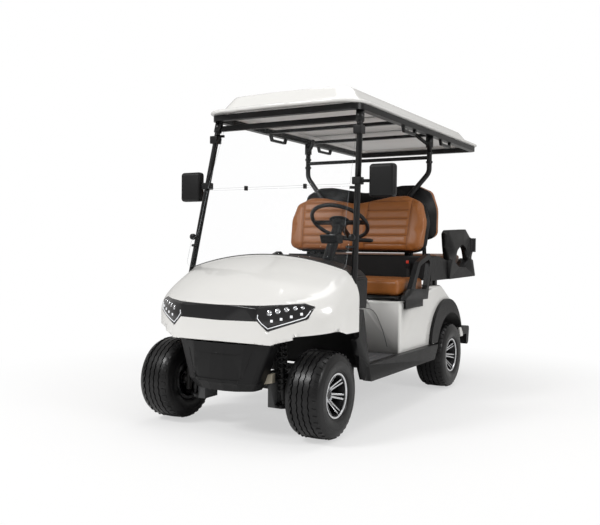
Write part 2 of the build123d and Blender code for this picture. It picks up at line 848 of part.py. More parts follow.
def rear_body_solid():
    """Moulded tub over the batteries and rear axle, open underneath, arched over the wheels."""
    outer = side_prism(rear_body_rows(0, floor_z, step_y), -rear_half_width, rear_half_width)
    side_edges = outer.edges().filter_by(lambda e: abs(abs(e.center().X) - rear_half_width) < 0.1
                                         and e.center().Z > floor_z + 20)
    outer = fillet(side_edges, 16)
    wall = rear_wall
    seat_well = rear_half_width - wall
    outer -= block((-seat_well, seat_well), (rear_front_y, well_rear), (seat_deck_z, rear_deck_z + 50))
    inner = side_prism(rear_body_rows(-wall, 0, well_rear + 30), -seat_well, seat_well)
    shell = outer - inner
    for side in (-1, 1):
        shell -= rod((side * 330, arch_y, arch_z), (side * 600, arch_y, arch_z), arch_radius + 8)
    access = block((-430, 430), (-190, step_y - 60), (seat_deck_z - 40, seat_deck_z + 20))
    return shell - access


rear_body = rear_body_solid()

flare_half_width = 562
flare_thick = 6
liner_inner_x = 350


def rear_flare_solid():
    """Matte arch flare with its wheel-well liner."""
    crescent = rod((rear_half_width + seat_fit, arch_y - 68, 305), (flare_half_width, arch_y - 68, 305), 322)
    crescent -= rod((300, arch_y, arch_z), (700, arch_y, arch_z), arch_radius)
    crescent -= block((300, 700), (-500, 1500), (-100, 345))
    crescent -= block((300, 700), (arch_y, 1500), (-100, 400))
    liner = rod((liner_inner_x, arch_y, arch_z), (rear_half_width + seat_fit + 1, arch_y, arch_z), arch_radius + 7)
    liner -= rod((liner_inner_x - 1, arch_y, arch_z), (700, arch_y, arch_z), arch_radius)
    liner -= block((300, 700), (-500, 1500), (-100, 400))
    return crescent + liner


save("rear_flares", *both(rear_flare_solid()))

footboard_front = 1012
footboard_rear = 1250
footboard_half_width = 500
footboard_top = 392


def footboard_solid():
    """Rear step: ribbed top, deep ends that turn down, carried on the rails."""
    board = side_prism([
        # y, z, corner radius
        (footboard_front, rail_top, 0),
        (footboard_front, footboard_top - 12, 8),
        (1060, footboard_top, 20),
        (footboard_rear, footboard_top - 14, 26),
        (footboard_rear - 20, 250, 30),
        (footboard_rear - 70, 232, 20),
        (footboard_rear - 70, rail_top, 0),
    ], -footboard_half_width, footboard_half_width)
    pocket = block((-footboard_half_width + 12, footboard_half_width - 12), (1000, footboard_rear - 64),
                   (200, rail_top + 8))
    body = board - pocket
    for side in (-1, 1):
        foot = block(sorted((side * (rail_x - 20), side * (rail_x + 20))), (footboard_front, footboard_rear - 64),
                     (rail_top, rail_top + 9))
        body += foot
    return body


save("rear_footboard", footboard_solid())

lamp_skin = (side_prism(rear_body_rows(6, floor_z, step_y), 300, 420)
             - side_prism(rear_body_rows(0, floor_z, step_y), 299, 421))
tail_lamp = lamp_skin & block((300, 420), (600, 1100), (430, 490))
save("tail_lamps", *both(tail_lamp))


# ---------------------------------------------------------------- lid hinges
hinge_pin_radius = 4
hinge_barrel_radius = 8
hinge_length = 46
hinge_ear = 5
foot_height = 6                # rubber feet hold a lid this far off its seat


def hinge_ears(x, y, z, plate_y, plate_z):
    """Two ears with a pin between them, joined to a base from the axis to plate_y, plate_z."""
    pin = rod((x - hinge_length / 2 - hinge_ear, y, z), (x + hinge_length / 2 + hinge_ear, y, z), hinge_pin_radius)
    ears = pin
    for side in (-1, 1):
        inner = x + side * (hinge_length / 2 + thrust_gap)
        low, high = sorted((inner, inner + side * hinge_ear))
        ears += rod((low, y, z), (high, y, z), hinge_barrel_radius)
        ears += block((low, high), sorted((y, plate_y)), sorted((z, plate_z)))
    return ears


def hinge_barrel(x, y, z, leaf_y, leaf_z):
    """Barrel bored for the pin, with a leaf that reaches the lid's board."""
    barrel = rod((x - hinge_length / 2, y, z), (x + hinge_length / 2, y, z), hinge_barrel_radius)
    leaf_block = block((x - hinge_length / 2, x + hinge_length / 2), sorted((y, leaf_y)),
                       (z + hinge_barrel_radius - 2, leaf_z))
    bore = rod((x - hinge_length, y, z), (x + hinge_length, y, z), hinge_pin_radius + running_fit)
    return barrel + leaf_block - bore


# ---------------------------------------------------------------- front seat
cushion_front = -258
cushion_rear = 212
cushion_half_width = 536
cushion_rear_half_width = 519   # clears the raised sides of the rear body
board_bottom = seat_deck_z + foot_height
board_thick = 22
board_top = board_bottom + board_thick
cushion_top = 786
cushion_edge = 26
seat_hinge_x = 300
seat_hinge_y = rear_front_y - 12
seat_hinge_z = seat_deck_z - 4


def cushion_rows(grow):
    """Plan of the front cushion. Rows: x, y, corner radius."""
    wide, narrow = cushion_half_width + grow, cushion_rear_half_width + grow
    right = [
        (wide, cushion_front - grow, 24),
        (wide, 60, 20),
        (narrow, 110, 20),
        (narrow, cushion_rear + grow, 24),
    ]
    return right + [(-x, y, r) for x, y, r in reversed(right)]


def front_board_solid():
    """Seat board with rubber feet and the hinge barrels of the lid."""
    board = plan_prism(cushion_rows(-8), board_bottom, board_top)
    for side in (-1, 1):
        board += hinge_barrel(side * seat_hinge_x, seat_hinge_y, seat_hinge_z, rear_front_y + 14, board_bottom + 4)
        for y in (rear_front_y + 30, cushion_rear - 40):
            board += Pos(side * 470, y, seat_deck_z + seat_fit + foot_height / 2) * Cylinder(10, foot_height)
    return board


def padded_block(rows, z_low, z_high, edge):
    """A closed cushion over a plan outline, its top and bottom edges rounded."""
    slab = plan_prism(rows, z_low, z_high)
    flats = slab.faces().filter_by(Axis.Z)
    return fillet([e for face in flats for e in face.edges()], edge)


save("front_seat_board", front_board_solid())
save("front_seat_cushion", padded_block(cushion_rows(0), board_top + seat_fit, cushion_top, cushion_edge))
for side in (-1, 1):
    rear_body += hinge_ears(side * seat_hinge_x, seat_hinge_y, seat_hinge_z, rear_front_y + 2, seat_hinge_z - 14)
save("rear_body", rear_body)

# ---------------------------------------------------------------- backrests
back_bottom_z = 952
back_bottom_y = 172
front_lean = 11
rear_lean = 6
back_thick = 74
shell_thick = 18
back_hump = 402                # height of the two humps above the bottom edge
back_dip = 48
rear_back_y = 532              # rear face of the rear backrest at its bottom
rear_back_z = 1028


def backrest_outline(shrink):
    """Two-hump outline seen from the front. Rows: x, height above the bottom, corner radius."""
    w = backrest_half_width - shrink
    hump = back_hump - shrink
    shoulder = back_hump - 52 - shrink
    right = [
        (w - 90, shrink, 60),
        (w - 12, 20 + shrink, 60),
        (w, 220, 200),
        (w - 40, shoulder, 60),
        (w - 150, hump, 90),
        (270, hump, 120),
    ]
    return right + [(0, hump - back_dip, 240)] + [(-x, z, r) for x, z, r in reversed(right)]


backrest_half_width = 528


def backrest_slab(facing, y, z, lean, start, end, shrink):
    """A slab of backrest from start to end behind its face. facing -1 looks forward, 1 backward."""
    slope = radians(lean)
    plane = Plane(origin=(0, y, z), x_dir=(-facing, 0, 0), z_dir=(0, facing * cos(slope), sin(slope)))
    return extrude(plane.offset(-start) * outline_face(backrest_outline(shrink)), -(end - start))


def soft_slab(slab, edge):
    """Round the edges of a slab's two flat faces."""
    flats = slab.faces().sort_by(SortBy.AREA)[-2:]
    return fillet([e for face in flats for e in face.edges()], edge)


pad_edge = 20
front_pad = soft_slab(backrest_slab(-1, back_bottom_y, back_bottom_z, front_lean, 0, back_thick, 0), pad_edge)
rear_pad = soft_slab(backrest_slab(1, rear_back_y, rear_back_z, rear_lean, 0, back_thick, 0), pad_edge)
shell_start = back_thick + seat_fit
shell_end = shell_start + shell_thick
front_shell = backrest_slab(-1, back_bottom_y, back_bottom_z, front_lean, shell_start, shell_end, 10)
rear_shell = backrest_slab(1, rear_back_y, rear_back_z, rear_lean, shell_start, shell_end, 10)
save("front_backrest_cushion", front_pad)
save("rear_backrest_cushion", rear_pad)
save("backrest_shells", front_shell, rear_shell)


def front_shell_back(z):
    """Rear face of the front shell at a height."""
    return back_bottom_y + shell_end / cos(radians(front_lean)) + (z - back_bottom_z) * tan(radians(front_lean))


def rear_shell_front(z):
    """Front face of the rear shell at a height."""
    return rear_back_y - shell_end / cos(radians(rear_lean)) - (z - rear_back_z) * tan(radians(rear_lean))


# ---------------------------------------------------------------- rear seat kit
kit_front = 250
kit_half_width = 548
kit_bottom = 762
kit_top = 928
kit_box_rear = 590
kit_rear_top = 888
kit_rear = 1136
kit_wall = 8
tray_z = 800
tray_thick = 25
tray_half_width = 480
post_radius = 14
front_post_x = 395
rear_post_x = 430
kit_leg_x = 250
kit_foot_ys = (300, 390)
rear_hinge_x = 300
rear_hinge_y = kit_rear + 10
rear_hinge_z = tray_z - 8


def seat_kit_rows(shrink):
    """Side outline of the box behind the front seat. Rows: y, z, corner radius."""
    bottom = kit_bottom - (20 if shrink else 0)
    return [
        (kit_front + shrink, bottom, 0),
        (kit_front + shrink, kit_top - shrink, 12),
        (kit_front + 150, kit_top - 6 - shrink, 40),
        (kit_box_rear - shrink, kit_rear_top - shrink, 20 - shrink),
        (kit_box_rear - shrink, bottom, 0),
    ]


def seat_kit_solid():
    """Black base of the rear seat: box, tray, feet, legs, hinge ears and backrest posts."""
    kit = side_prism(seat_kit_rows(0), -kit_half_width, kit_half_width)
    kit -= side_prism(seat_kit_rows(kit_wall), -kit_half_width + kit_wall, kit_half_width - kit_wall)
    kit += block((-tray_half_width, tray_half_width), (kit_box_rear - 4, kit_rear), (tray_z - tray_thick, tray_z))
    for side in (-1, 1):
        for y in kit_foot_ys:
            kit += block(sorted((side * 500, side * (kit_half_width - 2))), (y, y + 40), (kit_bottom, kit_bottom + 8))
            kit += block(sorted((side * 500, side * (kit_half_width - 22))), (y, y + 40), (rear_deck_z, kit_bottom + 8))
        leg_x = sorted((side * (kit_leg_x - 15), side * (kit_leg_x + 15)))
        kit += block(leg_x, (kit_rear - 70, kit_rear - 40), (footboard_top, tray_z - tray_thick + 1))
        low_z, high_z = kit_top - 12, 1120
        front_y = [front_shell_back(z) + post_radius / cos(radians(front_lean)) + seat_fit for z in (low_z, high_z)]
        kit += rod((side * front_post_x, front_y[0], low_z), (side * front_post_x, front_y[1], high_z), post_radius)
        low_z, high_z = kit_rear_top + 8, 1180
        rear_y = [rear_shell_front(z) - post_radius / cos(radians(rear_lean)) - seat_fit for z in (low_z, high_z)]
        kit += rod((side * rear_post_x, rear_y[0], low_z), (side * rear_post_x, rear_y[1], high_z), post_radius)
        kit += hinge_ears(side * rear_hinge_x, rear_hinge_y, rear_hinge_z, kit_rear - 2, rear_hinge_z - 14)
    return kit


seat_kit = seat_kit_solid()
save("rear_seat_base", seat_kit)

rear_cushion_top = 935
rear_board_bottom = tray_z + foot_height
rear_board_top = rear_board_bottom + board_thick
rear_cushion_half_width = 468
rear_cushion_rows = [
    # x, y, corner radius
    (-rear_cushion_half_width, kit_box_rear + 8, 24),
    (rear_cushion_half_width, kit_box_rear + 8, 24),
    (rear_cushion_half_width, kit_rear - 2, 24),
    (-rear_cushion_half_width, kit_rear - 2, 24),
]


def rear_board_solid():
    """Board of the flip seat, with its feet and hinge barrels."""
    board = block((-rear_cushion_half_width + 10, rear_cushion_half_width - 10), (kit_box_rear + 14, kit_rear - 10),
                  (rear_board_bottom, rear_board_top))
    for side in (-1, 1):
        board += hinge_barrel(side * rear_hinge_x, rear_hinge_y, rear_hinge_z, kit_rear - 30, rear_board_bottom + 4) \
            - block((-600, 600), (kit_rear - 40, kit_rear + 1), (0, tray_z + 2))
        for y in (kit_box_rear + 50, kit_rear - 60):
            board += Pos(side * 400, y, tray_z + seat_fit + foot_height / 2) * Cylinder(10, foot_height)
    return board


save("rear_seat_board", rear_board_solid())
save("rear_seat_cushion", padded_block(rear_cushion_rows, rear_board_top + seat_fit, rear_cushion_top, cushion_edge))


# ---------------------------------------------------------------- armrests and hip restraints
hip_inner_x = 546
hip_outer_x = 578


def hip_restraint_solid():
    """Looped restraint beside the front seat, on a foot bolted to the body's side."""
    outer = side_prism([
        # y, z, corner radius
        (-262, 658, 8),
        (-250, 690, 12),
        (-170, 725, 30),
        (-50, 890, 60),
        (140, 945, 24),
        (196, 905, 24),
        (150, 770, 60),
        (118, 652, 8),
    ], hip_inner_x, hip_outer_x)
    window = side_prism([
        # y, z, corner radius
        (-110, 726, 14),
        (-14, 868, 40),
        (128, 905, 14),
        (150, 885, 14),
        (106, 740, 20),
        (86, 716, 10),
    ], hip_inner_x - 10, hip_outer_x + 10)
    foot = block((rear_half_width, hip_inner_x + 10), (-200, 90), (606, 646))
    riser = block((hip_inner_x, hip_inner_x + 10), (-200, 90), (606, 690))
    return outer - window + foot + riser


save("hip_restraints", *both(hip_restraint_solid()))

armrest_outer_x = 562
armrest_loop_inner = 512
cup_x = 532
cup_y = 1125
cup_radius = 46


def rear_armrest_solid():
    """Rear armrest with its grab opening, cheek base and cup holder."""
    base = side_prism([
        # y, z, corner radius
        (kit_box_rear, kit_bottom, 0),
        (kit_box_rear, 905, 20),
        (660, 900, 20),
        (800, 838, 40),
        (930, 838, 40),
        (1050, 905, 20),
        (1120, 890, 20),
        (1182, 768, 8),
    ], tray_half_width, armrest_outer_x)
    loop = side_prism([
        # y, z, corner radius
        (540, 1078, 12),
        (580, 1104, 60),
        (950, 1118, 30),
        (1060, 1060, 60),
        (1150, 1050, 10),
        (1150, 955, 10),
        (1090, 940, 60),
        (1110, 880, 0),
        (1040, 860, 0),
        (980, 980, 90),
        (880, 1010, 60),
        (770, 960, 60),
        (720, 850, 0),
        (610, 850, 0),
        (560, 985, 60),
    ], armrest_loop_inner, armrest_outer_x - 8)
    cup = Pos(cup_x, cup_y, 1003) * Cylinder(cup_radius, 104)
    cup -= Pos(cup_x, cup_y, 1012) * Cylinder(cup_radius - 5, 104)
    return base + (loop - Pos(cup_x, cup_y, 1020) * Cylinder(cup_radius - 5, 120)) + cup


save("rear_armrests", *both(rear_armrest_solid()))


# ---------------------------------------------------------------- windshield
windshield_thick = 4
fold_z = 1316
fold_y = -825
pane_top_y = -691
pane_top_z = 1690
pane_bottom_y = -967
pane_bottom_z = 846
pane_bottom_half_width = 524
pane_fold_half_width = 477
pane_top_half_width = 453


def pane(rows, low, high):
    """A flat acrylic pane between two points in side view. Rows: x, share of height, radius."""
    low, high = Vector(0, *low), Vector(0, *high)
    height = (high - low).length
    plane = Plane(origin=low, x_dir=(1, 0, 0), z_dir=Vector(1, 0, 0).cross(high - low))
    face = plane * outline_face([(x, share * height, radius) for x, share, radius in rows])
    return extrude(face, windshield_thick)


def mirrored_rows(right):
    """Rows of a right-hand outline followed by its mirror twin."""
    return right + [(-u, v, r) for u, v, r in reversed(right)]


upper_pane = pane(mirrored_rows([
    (pane_fold_half_width, 0.012, 6),
    (pane_top_half_width, 1.0, 6),
]), (fold_y, fold_z), (pane_top_y, pane_top_z))
lower_pane = pane(mirrored_rows([
    (0, 0.165, 0),
    (300, 0.112, 250),
    (pane_bottom_half_width, 0.0, 36),
    (pane_bottom_half_width, 0.33, 30),
    (pane_fold_half_width + 8, 0.45, 60),
    (pane_fold_half_width, 0.985, 6),
])[1:], (pane_bottom_y, pane_bottom_z), (fold_y, fold_z))


# ---------------------------------------------------------------- struts
strut_radius = 17
strut_low = Vector(553, -924, 664)
strut_high = Vector(478, -710, 1735)
roof_bottom_z = strut_high.Z
rear_strut_x = 472
rear_strut_y = 393
rear_strut_low_x = 330
rear_strut_low_y = 366
cross_tube_z = 1592


def strut_at(z):
    """Point on the front strut's axis at a height."""
    return strut_low + (strut_high - strut_low) * ((z - strut_low.Z) / (strut_high.Z - strut_low.Z))


def front_strut_side():
    """One front strut with its socket, clamps and windshield clips."""
    strut = rod(strut_low, strut_at(roof_bottom_z + 20), strut_radius)
    strut += rod(strut_at(roof_bottom_z - 62), strut_at(roof_bottom_z + 20), strut_radius + 7)
    clamp = strut_at(1625)
    strut += block((clamp.X - 25, clamp.X + 25), (clamp.Y - 34, clamp.Y + 22), (1602, 1648), 4)
    for z in (980, fold_z - 14, 1650):
        point = strut_at(z)
        if z < fold_z:
            pane_y = pane_bottom_y + (z - pane_bottom_z) * (fold_y - pane_bottom_y) / (fold_z - pane_bottom_z)
        else:
            pane_y = fold_y + (z - fold_z) * (pane_top_y - fold_y) / (pane_top_z - fold_z)
        reach = Vector(min(point.X, pane_top_half_width + (pane_top_z - z) * 0.1) - 14, pane_y, z)
        strut += rod(point, reach, 8)
    return strut - block((300, 700), (-1200, 0), (roof_bottom_z, 1900))


top_bar = block((-strut_at(pane_top_z).X, strut_at(pane_top_z).X), (pane_top_y - 22, pane_top_y + 14),
                (pane_top_z - 8, pane_top_z + 22))
front_strut_frame = top_bar
for half in both(front_strut_side()):
    front_strut_frame += half
front_strut_frame -= upper_pane + lower_pane
save("front_struts", front_strut_frame)
save("windshield_upper", upper_pane)
save("windshield_lower", lower_pane)
bare_struts = [rod(strut_low - (strut_high - strut_low) * 0.02, strut_high, strut_radius)]
bare_struts.append(mirror(bare_struts[0], Plane.YZ))
for strut in bare_struts:
    front_body -= strut
    dashboard -= strut
sill_trims = [piece - bare_struts[0] - bare_struts[1] for piece in both(sill)]
save("side_sills", *sill_trims)
save("front_body", front_body)
save("dashboard", dashboard)


def rear_strut_solid():
    """Rear struts joined by a cross tube, bent inward between the backrests down to the base."""
    frame = rod((-rear_strut_x, rear_strut_y, cross_tube_z), (rear_strut_x, rear_strut_y, cross_tube_z), 12.5)
    for side in (-1, 1):
        top = roof_bottom_z - seat_fit
        frame += tube_run([
            (side * rear_strut_x, rear_strut_y, top),
            (side * rear_strut_x, rear_strut_y, 1490),
            (side * rear_strut_low_x, rear_strut_low_y, 1320),
            (side * rear_strut_low_x, rear_strut_low_y, kit_top - 8),
        ], strut_radius, 0, 80)
        frame += rod((side * rear_strut_x, rear_strut_y, top - 75), (side * rear_strut_x, rear_strut_y, top),
                     strut_radius + 8)
    return frame - seat_kit


save("rear_struts", rear_strut_solid())


# ---------------------------------------------------------------- roof
roof_frame_half_width = 505
roof_frame_front = -775
roof_frame_rear = 1352
roof_frame_side = 42
roof_frame_height = 34
roof_front = -870
roof_rear = overall_half_length
roof_half_width = 525
roof_brim_z = roof_bottom_z + roof_frame_height + seat_fit
roof_brim = 22
roof_crown = 112               # height of the crown above the brim's underside
roof_skin = 4


def roof_frame_solid():
    """Black steel perimeter of the roof with two cross bars."""
    w = roof_frame_half_width
    outer = plan_prism(mirrored_rows([(w, roof_frame_front, 60), (w, roof_frame_rear, 60)]),
                       roof_bottom_z, roof_bottom_z + roof_frame_height)
    w -= roof_frame_side
    inner_rows = [(w, roof_frame_front + roof_frame_side, 30), (w, roof_frame_rear - roof_frame_side, 30)]
    frame = outer - plan_prism(mirrored_rows(inner_rows), roof_bottom_z - 1, roof_brim_z)
    for y in (-180, rear_strut_y):
        frame += block((-w - 2, w + 2), (y - 15, y + 15), (roof_bottom_z, roof_bottom_z + 20))
    return frame


def roof_layer(z, inset, bow):
    """Plan outline of the roof at a height, inset from the brim, its front bowed forward."""
    w = roof_half_width - inset
    front = roof_front + inset
    rear = roof_rear - inset
    return Plane.XY.offset(z) * outline_face([
        # x, y, corner radius
        (-w, front + bow, 150 - inset / 2),
        (0, front, 2400),
        (w, front + bow, 150 - inset / 2),
        (w, rear, 110 - inset / 2),
        (-w, rear, 110 - inset / 2),
    ])


def roof_shell_solid():
    """Moulded roof: flat brim, raised crown, hollow underneath inside the frame."""
    top = roof_brim_z + roof_crown
    brim = extrude(roof_layer(roof_brim_z, 0, 40), roof_brim)
    crown = loft([roof_layer(roof_brim_z + roof_brim - 1, 58, 36), roof_layer(top, 128, 30)], ruled=True)
    inner = extrude(roof_layer(roof_brim_z - 1, 72, 36), roof_brim)
    inner_crown = loft([roof_layer(roof_brim_z + roof_brim - 5, 72, 36), roof_layer(top - roof_skin, 134, 30)],
                       ruled=True)
    return brim + crown - inner - inner_crown


save("roof_frame", roof_frame_solid())
save("roof_shell", roof_shell_solid())


# ---------------------------------------------------------------- mirrors and grab handles
mirror_x = 642
mirror_y = -762
mirror_z = 1340
mirror_half_width = 75
mirror_half_height = 90
mirror_rim = 9
mirror_glass_thick = 3


def mirror_solid():
    """Side mirror housing on an arm clamped to the front strut."""
    housing = block((mirror_x - mirror_half_width, mirror_x + mirror_half_width), (mirror_y - 28, mirror_y + 28),
                    (mirror_z - mirror_half_height, mirror_z + mirror_half_height), 20)
    point = strut_at(mirror_z)
    arm = rod(point, (mirror_x - 60, mirror_y + 6, mirror_z), 9)
    clamp = block((point.X - 25, point.X + 25), (point.Y - 26, point.Y + 26), (mirror_z - 20, mirror_z + 20), 4)
    pocket = block(*mirror_glass_box(30))
    return housing + arm + clamp - pocket - bare_struts[0] - upper_pane


def mirror_glass_box(depth):
    """Ranges of the glass, or of its pocket, from its front face."""
    w, h = mirror_half_width - mirror_rim, mirror_half_height - mirror_rim
    return (mirror_x - w, mirror_x + w), (mirror_y + 20, mirror_y + 20 + depth), (mirror_z - h, mirror_z + h)


save("mirrors", *both(mirror_solid()))
save("mirror_glasses", *both(block(*mirror_glass_box(mirror_glass_thick))))

handle_length = 220
handle_drop = 38
handle_thick = 16


def grab_handle(y):
    """Bow handle under the roof frame."""
    x = roof_frame_half_width - roof_frame_side / 2
    top = roof_bottom_z - seat_fit
    end = y + handle_length
    return side_prism([
        # y, z, corner radius
        (y, top, 0),
        (y + 20, top - handle_drop, 14),
        (end - 20, top - handle_drop, 14),
        (end, top, 0),
        (end - 22, top, 0),
        (end - 32, top - handle_drop + handle_thick, 8),
        (y + 32, top - handle_drop + handle_thick, 8),
        (y + 22, top, 0),
    ], x - 9, x + 9)


handles = []
for y in (-120, 560):
    handles += both(grab_handle(y))
save("grab_handles", *handles)
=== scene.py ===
from math import atan2, cos, pi, radians, sin

import bmesh
import bpy
import numpy as np
from mathutils import Matrix, Vector


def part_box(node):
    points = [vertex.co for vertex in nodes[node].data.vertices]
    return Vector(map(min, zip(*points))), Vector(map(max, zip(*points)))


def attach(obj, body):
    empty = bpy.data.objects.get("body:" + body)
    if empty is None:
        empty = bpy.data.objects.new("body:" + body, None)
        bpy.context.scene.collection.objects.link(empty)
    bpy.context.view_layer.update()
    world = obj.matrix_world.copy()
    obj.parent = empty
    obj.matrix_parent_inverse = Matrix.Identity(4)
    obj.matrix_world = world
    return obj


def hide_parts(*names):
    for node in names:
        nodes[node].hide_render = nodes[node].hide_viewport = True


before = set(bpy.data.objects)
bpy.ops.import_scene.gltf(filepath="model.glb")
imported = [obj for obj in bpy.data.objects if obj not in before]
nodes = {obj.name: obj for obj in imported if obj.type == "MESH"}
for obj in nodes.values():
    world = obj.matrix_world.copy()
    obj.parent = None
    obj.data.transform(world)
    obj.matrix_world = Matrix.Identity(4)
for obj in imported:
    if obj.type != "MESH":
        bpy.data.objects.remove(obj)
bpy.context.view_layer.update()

bpy.ops.object.select_all(action="DESELECT")


# ---------------------------------------------------------------- camera, lamps and floor
# The cart stands on a pale seamless floor under soft studio lamps, seen from its left front corner
# a little above bonnet height.
camera_place = Vector((2.286, -4.490, 0.984))
camera_yaw = radians(30.0)
camera_pitch = radians(1.27)
camera_roll = radians(0.61)
lens_length = 45.26            # millimetres, as Blender takes them
sensor_width = 36
look = Vector((-sin(camera_yaw) * cos(camera_pitch), cos(camera_yaw) * cos(camera_pitch),
               -sin(camera_pitch)))
right = Vector((cos(camera_yaw), sin(camera_yaw), 0))
upward = right.cross(look)
rolled_right = right * cos(camera_roll) + upward * sin(camera_roll)
rolled_up = upward * cos(camera_roll) - right * sin(camera_roll)
camera_data = bpy.data.cameras.new("camera")
camera_data.lens = lens_length
camera_data.sensor_width = sensor_width
camera = bpy.data.objects.new("camera", camera_data)
bpy.context.scene.collection.objects.link(camera)
camera_turn = Matrix((rolled_right, rolled_up, -look)).transposed()
camera.matrix_world = Matrix.Translation(camera_place) @ camera_turn.to_4x4()
bpy.context.scene.camera = camera
bpy.context.scene.view_settings.view_transform = "Standard"

lamp_table = [
    # name, place, aimed at, width, power
    ("key_lamp", (-2.2, -4.6, 4.2), (0, 0, 0.8), 1.6, 150),
    ("fill_lamp", (4.8, -1.5, 3.0), (0, 0, 0.7), 1.8, 75),
    ("top_lamp", (0.3, 0.8, 5.2), (0, 0, 0.5), 4.0, 95),
]
for name, place, aim, width, power in lamp_table:
    lamp_data = bpy.data.lights.new(name, "AREA")
    lamp_data.shape = "DISK"
    lamp_data.size = width
    lamp_data.energy = power
    lamp = bpy.data.objects.new(name, lamp_data)
    bpy.context.scene.collection.objects.link(lamp)
    direction = Vector(aim) - Vector(place)
    lamp_turn = direction.to_track_quat("-Z", "Y").to_matrix()
    lamp.matrix_world = Matrix.Translation(place) @ lamp_turn.to_4x4()

room_light = 0.46              # strength of the room's light on the cart
backdrop_light = 1.0           # strength of the backdrop where it is seen straight
world = bpy.data.worlds.new("studio")
bpy.context.scene.world = world
world.use_nodes = True
world_nodes, world_links = world.node_tree.nodes, world.node_tree.links
world_nodes.clear()
room = world_nodes.new("ShaderNodeBackground")
room.inputs["Color"].default_value = (1.0, 0.985, 0.96, 1)
room.inputs["Strength"].default_value = room_light
backdrop = world_nodes.new("ShaderNodeBackground")
backdrop.inputs["Color"].default_value = (1, 1, 1, 1)
backdrop.inputs["Strength"].default_value = backdrop_light
path = world_nodes.new("ShaderNodeLightPath")
either = world_nodes.new("ShaderNodeMath")
either.operation = "MAXIMUM"
world_links.new(path.outputs["Is Camera Ray"], either.inputs[0])
world_links.new(path.outputs["Is Transmission Ray"], either.inputs[1])
blend_world = world_nodes.new("ShaderNodeMixShader")
world_links.new(either.outputs[0], blend_world.inputs["Fac"])
world_links.new(room.outputs[0], blend_world.inputs[1])
world_links.new(backdrop.outputs[0], blend_world.inputs[2])
world_out = world_nodes.new("ShaderNodeOutputWorld")
world_links.new(blend_world.outputs[0], world_out.inputs["Surface"])

floor_size = 60
floor_level = -0.0015
fade_start = 1.2               # from here out the floor turns into the backdrop
fade_end = 3.0
fade_least = 0.55
bpy.ops.mesh.primitive_grid_add(x_subdivisions=8, y_subdivisions=8, size=floor_size,
                                location=(0, 0, floor_level))
floor = bpy.context.object
floor.name = "studio_floor"
floor_paint = bpy.data.materials.new("pale_floor")
floor_paint.use_nodes = True
floor_nodes, floor_links = floor_paint.node_tree.nodes, floor_paint.node_tree.links
floor_nodes.clear()
matt = floor_nodes.new("ShaderNodeBsdfDiffuse")
matt.inputs["Color"].default_value = (0.90, 0.90, 0.90, 1)
lit = floor_nodes.new("ShaderNodeEmission")
lit.inputs["Color"].default_value = (1, 1, 1, 1)
place_on_floor = floor_nodes.new("ShaderNodeTexCoord")
from_cart = floor_nodes.new("ShaderNodeVectorMath")
from_cart.operation = "LENGTH"
floor_links.new(place_on_floor.outputs["Object"], from_cart.inputs[0])
fade = floor_nodes.new("ShaderNodeMapRange")
fade.interpolation_type = "SMOOTHSTEP"
fade.inputs["From Min"].default_value = fade_start
fade.inputs["From Max"].default_value = fade_end
fade.inputs["To Min"].default_value = fade_least
floor_links.new(from_cart.outputs["Value"], fade.inputs["Value"])
floor_path = floor_nodes.new("ShaderNodeLightPath")
seen = floor_nodes.new("ShaderNodeMath")
seen.operation = "MAXIMUM"
floor_links.new(floor_path.outputs["Is Camera Ray"], seen.inputs[0])
floor_links.new(floor_path.outputs["Is Transmission Ray"], seen.inputs[1])
share = floor_nodes.new("ShaderNodeMath")
share.operation = "MULTIPLY"
floor_links.new(fade.outputs[0], share.inputs[0])
floor_links.new(seen.outputs[0], share.inputs[1])
floor_mix = floor_nodes.new("ShaderNodeMixShader")
floor_links.new(share.outputs[0], floor_mix.inputs["Fac"])
floor_links.new(matt.outputs[0], floor_mix.inputs[1])
floor_links.new(lit.outputs[0], floor_mix.inputs[2])
floor_out = floor_nodes.new("ShaderNodeOutputMaterial")
floor_links.new(floor_mix.outputs[0], floor_out.inputs["Surface"])
floor.data.materials.append(floor_paint)


